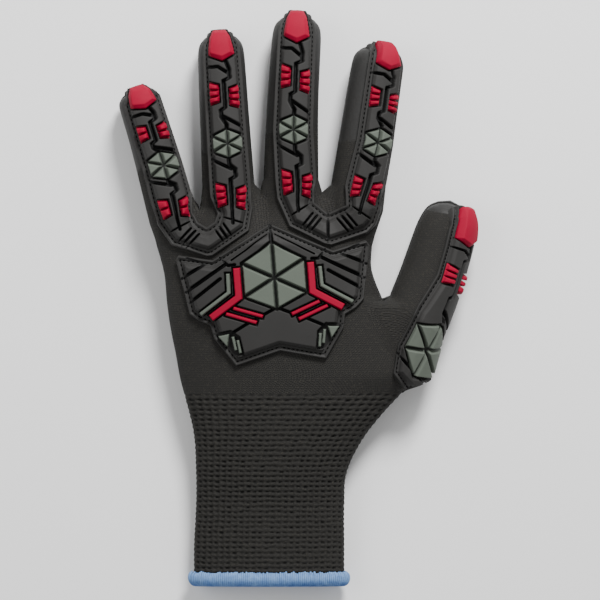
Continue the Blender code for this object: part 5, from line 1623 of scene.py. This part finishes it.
def finger_pair_guard(bridge):
    """A guard over two fingers, with its seam and its inserts."""
    strips = [FingerStrip(finger) for finger in FINGERS if finger.name in bridge.fingers]
    flange = pair_flange(bridge, *strips)
    blocks = [Block([strip.flat(*pair) for pair in CAP_SURROUND], BODY_BEVEL) for strip in strips]
    grooves = [([strip.flat(*pair) for pair in line], GROOVE)
               for strip in strips for line in (CENTRE_GROOVE, *CROSS_GROOVES)]
    grooves += bridge_grooves(bridge)
    pockets = []
    for strip in strips:
        pockets += [grown(hexagon_outline(strip), POCKET_GAP)]
        pockets += [grown([strip.flat(*pair) for pair in CAP_OUTLINE], POCKET_GAP / 2)]
        pockets += [grown(cluster_outline(strip, cluster), POCKET_GAP) for cluster in CLUSTERS]
    lattice = Lattice(DRAPE, pair_ray(strips), flange)
    piece = moulded(bridge.name + "_rubber", lattice, flange,
                    guard_relief(flange, blocks, grooves, pockets, BODY_INSET), BLACK_RUBBER)
    stands_for(piece, "black_rubber", bridge.name)
    sewn(bridge.name, lattice, flange)
    for strip in strips:
        finger_inserts(strip)


# Coloured inserts
# The fingertip caps and the clusters of slanted ridges are poured in red, the hexagons in grey. They are
# bonded into the guards' pockets and stand a little above the black.

CAP_BEVEL = 0.0015
CAP_WALL = 0.0005
CAP_FACET = 0.0021
CAP_FACET_DROP = 0.0017
INSERT_WALL = 0.00045
PAD_TOP = 0.0020
RIDGE_GAP = 0.0004
RIDGE_ROUND = 0.0006
RIDGE_CORNER = 0.0005


def cap_relief(outline, side_line):
    """A flat-topped block with sloping edges and one wider sloping face along a side line."""
    def relief(x, y):
        edge = inside_distance(x, y, outline)
        rise = CAP_HEIGHT - CAP_BEVEL
        height = -SINK + (rise + SINK) * ramp(edge + EDGE_WALL / 2, CAP_WALL)
        height = np.minimum(height + ramp(edge - CAP_WALL / 2, CAP_BEVEL * 1.3) * CAP_BEVEL, CAP_HEIGHT)
        slope = ramp(line_distance(x, y, side_line), CAP_FACET)
        return edge, height - (1 - slope) * CAP_FACET_DROP * (edge > 0), np.zeros(x.shape)
    return relief


def parted_relief(outline, lines, width, top, bevel):
    """Facets parted by grooves, with a bevel round each."""
    def relief(x, y):
        edge = inside_distance(x, y, outline)
        face = edge
        for line in lines:
            face = np.minimum(face, line_distance(x, y, line) - width / 2)
        height = PAD_TOP + (top - PAD_TOP) * ramp(face, bevel)
        height = np.where(edge < 0, -SINK, height)
        # The third value is painted shade in the grooves between facets
        return edge, height, np.clip(-face / GROOVE_WALL + 0.5, 0, 1) * (edge > 0)
    return relief


def ridge_relief(outline, count):
    """Slanted lozenges side by side, each with its crest near the inner end."""
    inner_low, inner_high, outer_high, outer_low = outline
    length = (outer_high - outer_low).length
    lean = 0.02

    def relief(x, y):
        edge = inside_distance(x, y, outline)
        height = np.where(edge < 0, -SINK, PAD_TOP)
        best = np.full(x.shape, -1.0)
        for number in range(count):
            cuts = []
            for cut in (number, number + 1):
                shift = 0 if cut in (0, count) else lean
                cuts.append((inner_low.lerp(inner_high, cut / count + shift * 0.8),
                             outer_low.lerp(outer_high, cut / count - shift * 0.5)))
            gap = (outer_high - outer_low) / length * RIDGE_GAP / 2
            corners = [cuts[0][0] + gap, cuts[1][0] - gap, cuts[1][1] - gap, cuts[0][1] + gap]
            inward = inside_distance(x, y, grown(corners, -RIDGE_CORNER)) + RIDGE_CORNER
            middle = (corners[0] + corners[1]) / 2
            far = np.hypot(x - middle.x, y - middle.y) / ((corners[2] + corners[3]) / 2 - middle).length
            top = RIDGE_HEIGHT + 0.0004 - 0.0022 * np.clip(far - 0.40, 0, 1)
            rounded = np.sin(ramp(inward, RIDGE_ROUND) * math.pi / 2)
            height = np.maximum(height, PAD_TOP + (top - PAD_TOP) * rounded)
            best = np.maximum(best, inward)
        # The third value is painted shade in the gaps between ridges
        return edge, height, np.clip(-best / GROOVE_WALL, 0, 1) * 0.8 * (edge > 0)
    return relief


def insert(name, ray, outline, relief, finish, slot):
    """A coloured piece bonded into its pocket."""
    piece = moulded(name + "_rubber", Lattice(DRAPE, ray, outline), outline, relief, finish)
    stands_for(piece, slot, name)


def hexagon_insert(name, ray, outline, groove):
    """A grey hexagon of six facets parted by grooves."""
    relief = parted_relief(outline, spokes(outline), groove, BLOCK_HEIGHT + 0.0002, FACET_BEVEL)
    insert(name, ray, outline, relief, GREY_RUBBER, "grey_rubber")


def spokes(outline):
    """Lines through the middle of a six-sided outline from corner to corner."""
    return [[outline[number], outline[number + 3]] for number in range(3)]


def finger_inserts(strip):
    """One finger's cap, hexagon and four clusters of ridges."""
    name = strip.finger.name
    cap = [strip.flat(*pair) for pair in CAP_OUTLINE]
    side_line = [strip.flat(-0.97, 1.05), strip.flat(-1.0, 0.80)]
    insert("cap_" + name, strip.ray, cap, cap_relief(cap, side_line), RED_RUBBER, "red_rubber")
    hexagon = hexagon_outline(strip)
    hexagon_insert("hexagon_" + name, strip.ray, hexagon, GROOVE * 0.7)
    for cluster in CLUSTERS:
        outline = cluster_outline(strip, cluster)
        insert("ridges_" + name + "_" + cluster.name, strip.ray, outline, ridge_relief(outline, RIDGES[name]),
               RED_RUBBER, "red_rubber")


for each_bridge in BRIDGES:
    finger_pair_guard(each_bridge)

# Back plate
# The plate over the back of the hand has a large grey hexagon, a red and a grey chevron on each side, red
# bars under them and a plain raised chin block.

PLATE_WIDTH = 0.092
PLATE_CENTRE = (-0.107, 0.538)
PLATE_TURN = 4.65
PLATE_LEAN = 0.6
PLATE_OUTLINE = ((0.0, 0.263), (0.300, 0.106), (0.468, 0.144), (0.480, 0.120), (0.450, -0.054), (0.435, -0.152),
                 (0.391, -0.190), (0.337, -0.217), (0.324, -0.283), (0.225, -0.430), (0.0, -0.372))
PLATE_HEXAGON = ((0.0, 0.165), (0.154, 0.076), (0.154, -0.090), (0.0, -0.161))
PLATE_INSET = 0.0032
# Grooves on one side of the plate and their widths: beside the top bar, the wing's arrow and slanted
# bar, over the chin and beside the corner
PLATE_GROOVES = (
    (((0.0, 0.30), (0.0, 0.15)), 0.0013),
    (((0.262, 0.115), (0.222, 0.072), (0.190, 0.074)), 0.0008),
    (((0.425, 0.128), (0.338, 0.088), (0.455, 0.026)), 0.0011),
    (((0.234, 0.080), (0.440, -0.044)), 0.0012),
    (((0.266, 0.010), (0.425, -0.098)), 0.0010),
    (((0.012, -0.160), (0.150, -0.222), (0.228, -0.262)), 0.0009),
)
PLATE_LINES = (((0.022, 0.205), (0.205, 0.097)),)
LINE_WIDTH = 0.00025
CHEVRON_RED = ((0.183, 0.058), (0.183, -0.088), (0.327, -0.180))
CHEVRON_RED_WIDTH = 0.0033
CHEVRON_GREY = ((0.227, 0.034), (0.230, -0.062), (0.376, -0.158))
CHEVRON_GREY_WIDTH = 0.0019
RED_BARS = (((0.215, -0.139), (0.070, -0.193)), ((0.253, -0.164), (0.103, -0.221)))
RED_BAR_WIDTH = 0.0018
CORNER_TRIANGLE = ((0.302, -0.272), (0.243, -0.264), (0.258, -0.330))
CORNER_BARS = (((0.228, -0.280), (0.217, -0.350)), ((0.205, -0.298), (0.196, -0.366)))
CORNER_BAR_WIDTH = 0.0015
CORNER_POCKET = ((0.318, -0.262), (0.236, -0.252), (0.196, -0.286), (0.182, -0.374), (0.222, -0.372))


def pocket(points, width):
    """Outline of the pocket that a band lies in."""
    return ribbon(stretched(points, POCKET_GAP), width + 2 * POCKET_GAP)


def plate_point(x, y):
    """Flat point from shares of the plate's width, turned with the plate."""
    turn = math.radians(PLATE_TURN)
    centre = place(*PLATE_CENTRE)
    across, along = x * PLATE_WIDTH, y * PLATE_WIDTH
    return centre + Vector((across * math.cos(turn) - along * math.sin(turn),
                            across * math.sin(turn) + along * math.cos(turn), 0))


def plate_side(points, side):
    """One side's points; the mirrored side is turned round to keep its order."""
    spots = [plate_point(x * side, y) for x, y in points]
    return spots if side > 0 else spots[::-1]


def plate_whole(points):
    """A closed outline whose first and last points lie on the middle line."""
    return plate_side(points, 1) + plate_side(points[1:-1], -1)


def plate_ray(point):
    """The plate is laid straight down on the knit."""
    return Vector((point.x, point.y, PALM_THICKNESS / 2)), Vector((0, 0, 1)), PLATE_LEAN


def joined_relief(outlines, top, bevel):
    """Several raised shapes of one colour, sunk out of sight between them."""
    def relief(x, y):
        edge = np.max([inside_distance(x, y, outline) for outline in outlines], axis=0)
        height = -SINK + (top + SINK - bevel) * ramp(edge + EDGE_WALL / 2, EDGE_WALL)
        return edge, np.minimum(height + ramp(edge, bevel) * bevel, top), np.zeros(x.shape)
    return relief


def back_plate():
    """The plate, its seam and its inserts."""
    flange = plate_whole(PLATE_OUTLINE)
    grooves = []
    pockets = [grown(plate_whole(PLATE_HEXAGON), POCKET_GAP * 1.4)]
    for side in (1, -1):
        grooves += [(plate_side(line, side), width) for line, width in PLATE_GROOVES]
        grooves += [(plate_side(line, side), LINE_WIDTH) for line in PLATE_LINES]
        pockets += [pocket(plate_side(bar, side), RED_BAR_WIDTH) for bar in RED_BARS]
        pockets += [pocket(plate_side(CHEVRON_RED, side), CHEVRON_RED_WIDTH)]
        pockets += [pocket(plate_side(CHEVRON_GREY, side), CHEVRON_GREY_WIDTH)]
        pockets += [grown(plate_side(CORNER_POCKET, side), POCKET_GAP / 2)]
    lattice = Lattice(DRAPE, plate_ray, flange)
    piece = moulded("guard_back_rubber", lattice, flange,
                    guard_relief(flange, [], grooves, pockets, PLATE_INSET), BLACK_RUBBER)
    stands_for(piece, "black_rubber", "guard_back")
    sewn("guard_back", lattice, flange)
    hexagon = plate_whole(PLATE_HEXAGON)
    hexagon_insert("hexagon_back", plate_ray, hexagon, PLATE_GROOVE * 0.8)
    for side, word in ((-1, "left"), (1, "right")):
        plate_inserts(side, word)


def plate_inserts(side, word):
    """One side's chevrons, red bars and corner."""
    for colour, line, width, finish in (("red", CHEVRON_RED, CHEVRON_RED_WIDTH, RED_RUBBER),
                                        ("grey", CHEVRON_GREY, CHEVRON_GREY_WIDTH, GREY_RUBBER)):
        outline = ribbon(plate_side(line, side), width)
        insert("chevron_" + colour + "_" + word, plate_ray, outline,
               joined_relief([outline], RIDGE_HEIGHT, INSERT_WALL), finish, colour + "_rubber")
    bars = [ribbon(plate_side(bar, side), RED_BAR_WIDTH) for bar in RED_BARS]
    corner = [plate_side(CORNER_TRIANGLE, side)]
    corner += [ribbon(plate_side(bar, side), CORNER_BAR_WIDTH) for bar in CORNER_BARS]
    for name, shapes, finish, slot in (("bars_", bars, RED_RUBBER, "red_rubber"),
                                       ("corner_", corner, GREY_RUBBER, "grey_rubber")):
        points = [point for outline in shapes for point in outline]
        around = [Vector((x, y, 0)) for x, y in box_round(points)]
        piece = moulded(name + word + "_rubber", Lattice(DRAPE, plate_ray, around), around,
                        joined_relief(shapes, BLOCK_HEIGHT, INSERT_WALL), finish)
        stands_for(piece, slot, name + word)


def box_round(points):
    """Corners of the upright box round flat points."""
    xs, ys = [point.x for point in points], [point.y for point in points]
    return ((min(xs), min(ys)), (max(xs), min(ys)), (max(xs), max(ys)), (min(xs), max(ys)))


back_plate()

# Thumb guard
# The thumb's guard wraps round the outer side of the thumb and has a broad end over its base joint, a
# large hexagon, two clusters of ridges and a cap.

THUMB_GUARD_LENGTH = 0.089
Ray = namedtuple("Ray", "along x y z heading roll radius")
THUMB_RAYS = (
    Ray(0.00, 0.407, 0.379, 0.45, 40, 50, 0.64),
    Ray(0.22, 0.499, 0.443, 0.48, 45, 50, 0.60),
    Ray(0.40, 0.561, 0.494, 0.48, 55, 54, 0.54),
    Ray(0.55, 0.615, 0.542, 0.46, 66, 56, 0.50),
    Ray(0.75, 0.655, 0.592, 0.43, 73, 57, 0.48),
    Ray(0.88, 0.678, 0.622, 0.41, 76, 57, 0.46),
)
THUMB_DOME = 0.88
THUMB_OUTLINE = ((-0.24, 1.045), (-0.39, 0.95), (-0.40, 0.56), (-0.53, 0.38), (-0.56, 0.13), (-0.34, 0.01),
                 (0.20, 0.0), (0.48, 0.12), (0.48, 0.36), (0.38, 0.56), (0.37, 0.95), (0.22, 1.045))
THUMB_BODY = ((-0.26, 0.85), (-0.26, 0.56), (-0.42, 0.36), (-0.44, 0.14), (-0.26, 0.04), (0.14, 0.04),
              (0.38, 0.14), (0.38, 0.36), (0.26, 0.56), (0.26, 0.85))
THUMB_HEXAGON_AT = 0.225
THUMB_HEXAGON = ((0.0, 0.145), (0.36, 0.070), (0.36, -0.070), (0.0, -0.145), (-0.40, -0.070), (-0.40, 0.070))
THUMB_GROOVES = (
    ((0.04, 0.86), (0.10, 0.74), (0.10, 0.715), (0.0, 0.70), (0.0, 0.50), (-0.07, 0.485), (-0.07, 0.42),
     (0.02, 0.38), (0.02, 0.36)),
    ((-0.30, 0.765), (-0.06, 0.765), (0.08, 0.735)),
    ((-0.07, 0.43), (0.45, 0.33)),
    ((-0.50, 0.10), (0.45, 0.10)),
)
THUMB_CLUSTERS = (("left", -1, 0.535, 0.655), ("right", 1, 0.515, 0.635))
THUMB_RIDGE_INNER = 0.09
THUMB_RIDGE_OUTER = 0.275
THUMB_CAP = ((-0.17, 1.015), (0.14, 1.015), (0.23, 0.95), (0.25, 0.84), (0.02, 0.79), (-0.26, 0.83),
             (-0.25, 0.96))
THUMB_SURROUND = ((-0.29, 0.83), (0.29, 0.83), (0.27, 0.96), (0.17, 1.025), (-0.20, 1.025), (-0.29, 0.96))


def thumb_flat(x, y):
    """Flat point from shares of the thumb's width and of its guard's length."""
    return Vector((x * THUMB_WIDTH, y * THUMB_GUARD_LENGTH, 0))


def thumb_ray(point):
    """Where the ray for a flat point starts inside the thumb, and which way it goes."""
    along = point.y / THUMB_GUARD_LENGTH
    x, y, z, heading, roll, radius = (
        float(np.interp(along, [row.along for row in THUMB_RAYS], [row[field] for row in THUMB_RAYS]))
        for field in range(1, len(Ray._fields)))
    ahead = Vector((math.cos(math.radians(heading)), math.sin(math.radians(heading)), 0))
    side = Vector((ahead.y, -ahead.x, 0))
    dome = max(along - THUMB_DOME, 0) / (1 - THUMB_DOME)
    middle = math.radians(roll)
    turn = middle + point.x / (radius * THUMB_WIDTH) * (1 - dome * DOME_BLUNT)
    tilt = math.radians(DOME_TILT) * dome
    up = Vector((0, 0, 1))
    direction = (side * math.sin(turn) + up * math.cos(turn)) * math.cos(tilt) + ahead * math.sin(tilt)
    shift = (side * math.cos(middle) - up * math.sin(middle)) * point.x * dome * DOME_BLUNT
    return place(x, y, z) + shift, direction, 0


def thumb_guard():
    """The thumb's guard, its seam and its inserts."""
    hexagon = [thumb_flat(x, THUMB_HEXAGON_AT + y) for x, y in THUMB_HEXAGON]
    clusters = {}
    for word, side, start, end in THUMB_CLUSTERS:
        clusters[word] = [thumb_flat(side * THUMB_RIDGE_INNER, start + THUMB_RIDGE_SLANT),
                          thumb_flat(side * THUMB_RIDGE_INNER, end - THUMB_RIDGE_SLANT),
                          thumb_flat(side * THUMB_RIDGE_OUTER, end),
                          thumb_flat(side * THUMB_RIDGE_OUTER, start)]
    flange = [thumb_flat(*pair) for pair in THUMB_OUTLINE]
    blocks = [Block([thumb_flat(*pair) for pair in outline], BODY_BEVEL) for outline in (THUMB_BODY, THUMB_SURROUND)]
    grooves = [([thumb_flat(*pair) for pair in line], GROOVE) for line in THUMB_GROOVES]
    pockets = [grown(outline, POCKET_GAP) for outline in (hexagon, *clusters.values())]
    pockets.append(grown([thumb_flat(*pair) for pair in THUMB_CAP], POCKET_GAP / 2))
    lattice = Lattice(DRAPE, thumb_ray, flange)
    piece = moulded("guard_thumb_rubber", lattice, flange, guard_relief(flange, blocks, grooves, pockets),
                    BLACK_RUBBER)
    stands_for(piece, "black_rubber", "guard_thumb")
    sewn("guard_thumb", lattice, flange)
    cap = [thumb_flat(*pair) for pair in THUMB_CAP]
    insert("cap_thumb", thumb_ray, cap, cap_relief(cap, [thumb_flat(-0.24, 1.05), thumb_flat(-0.25, 0.78)]),
           RED_RUBBER, "red_rubber")
    hexagon_insert("hexagon_thumb", thumb_ray, hexagon, GROOVE)
    for word, outline in clusters.items():
        insert("ridges_thumb_" + word, thumb_ray, outline, ridge_relief(outline, 3), RED_RUBBER, "red_rubber")


thumb_guard()
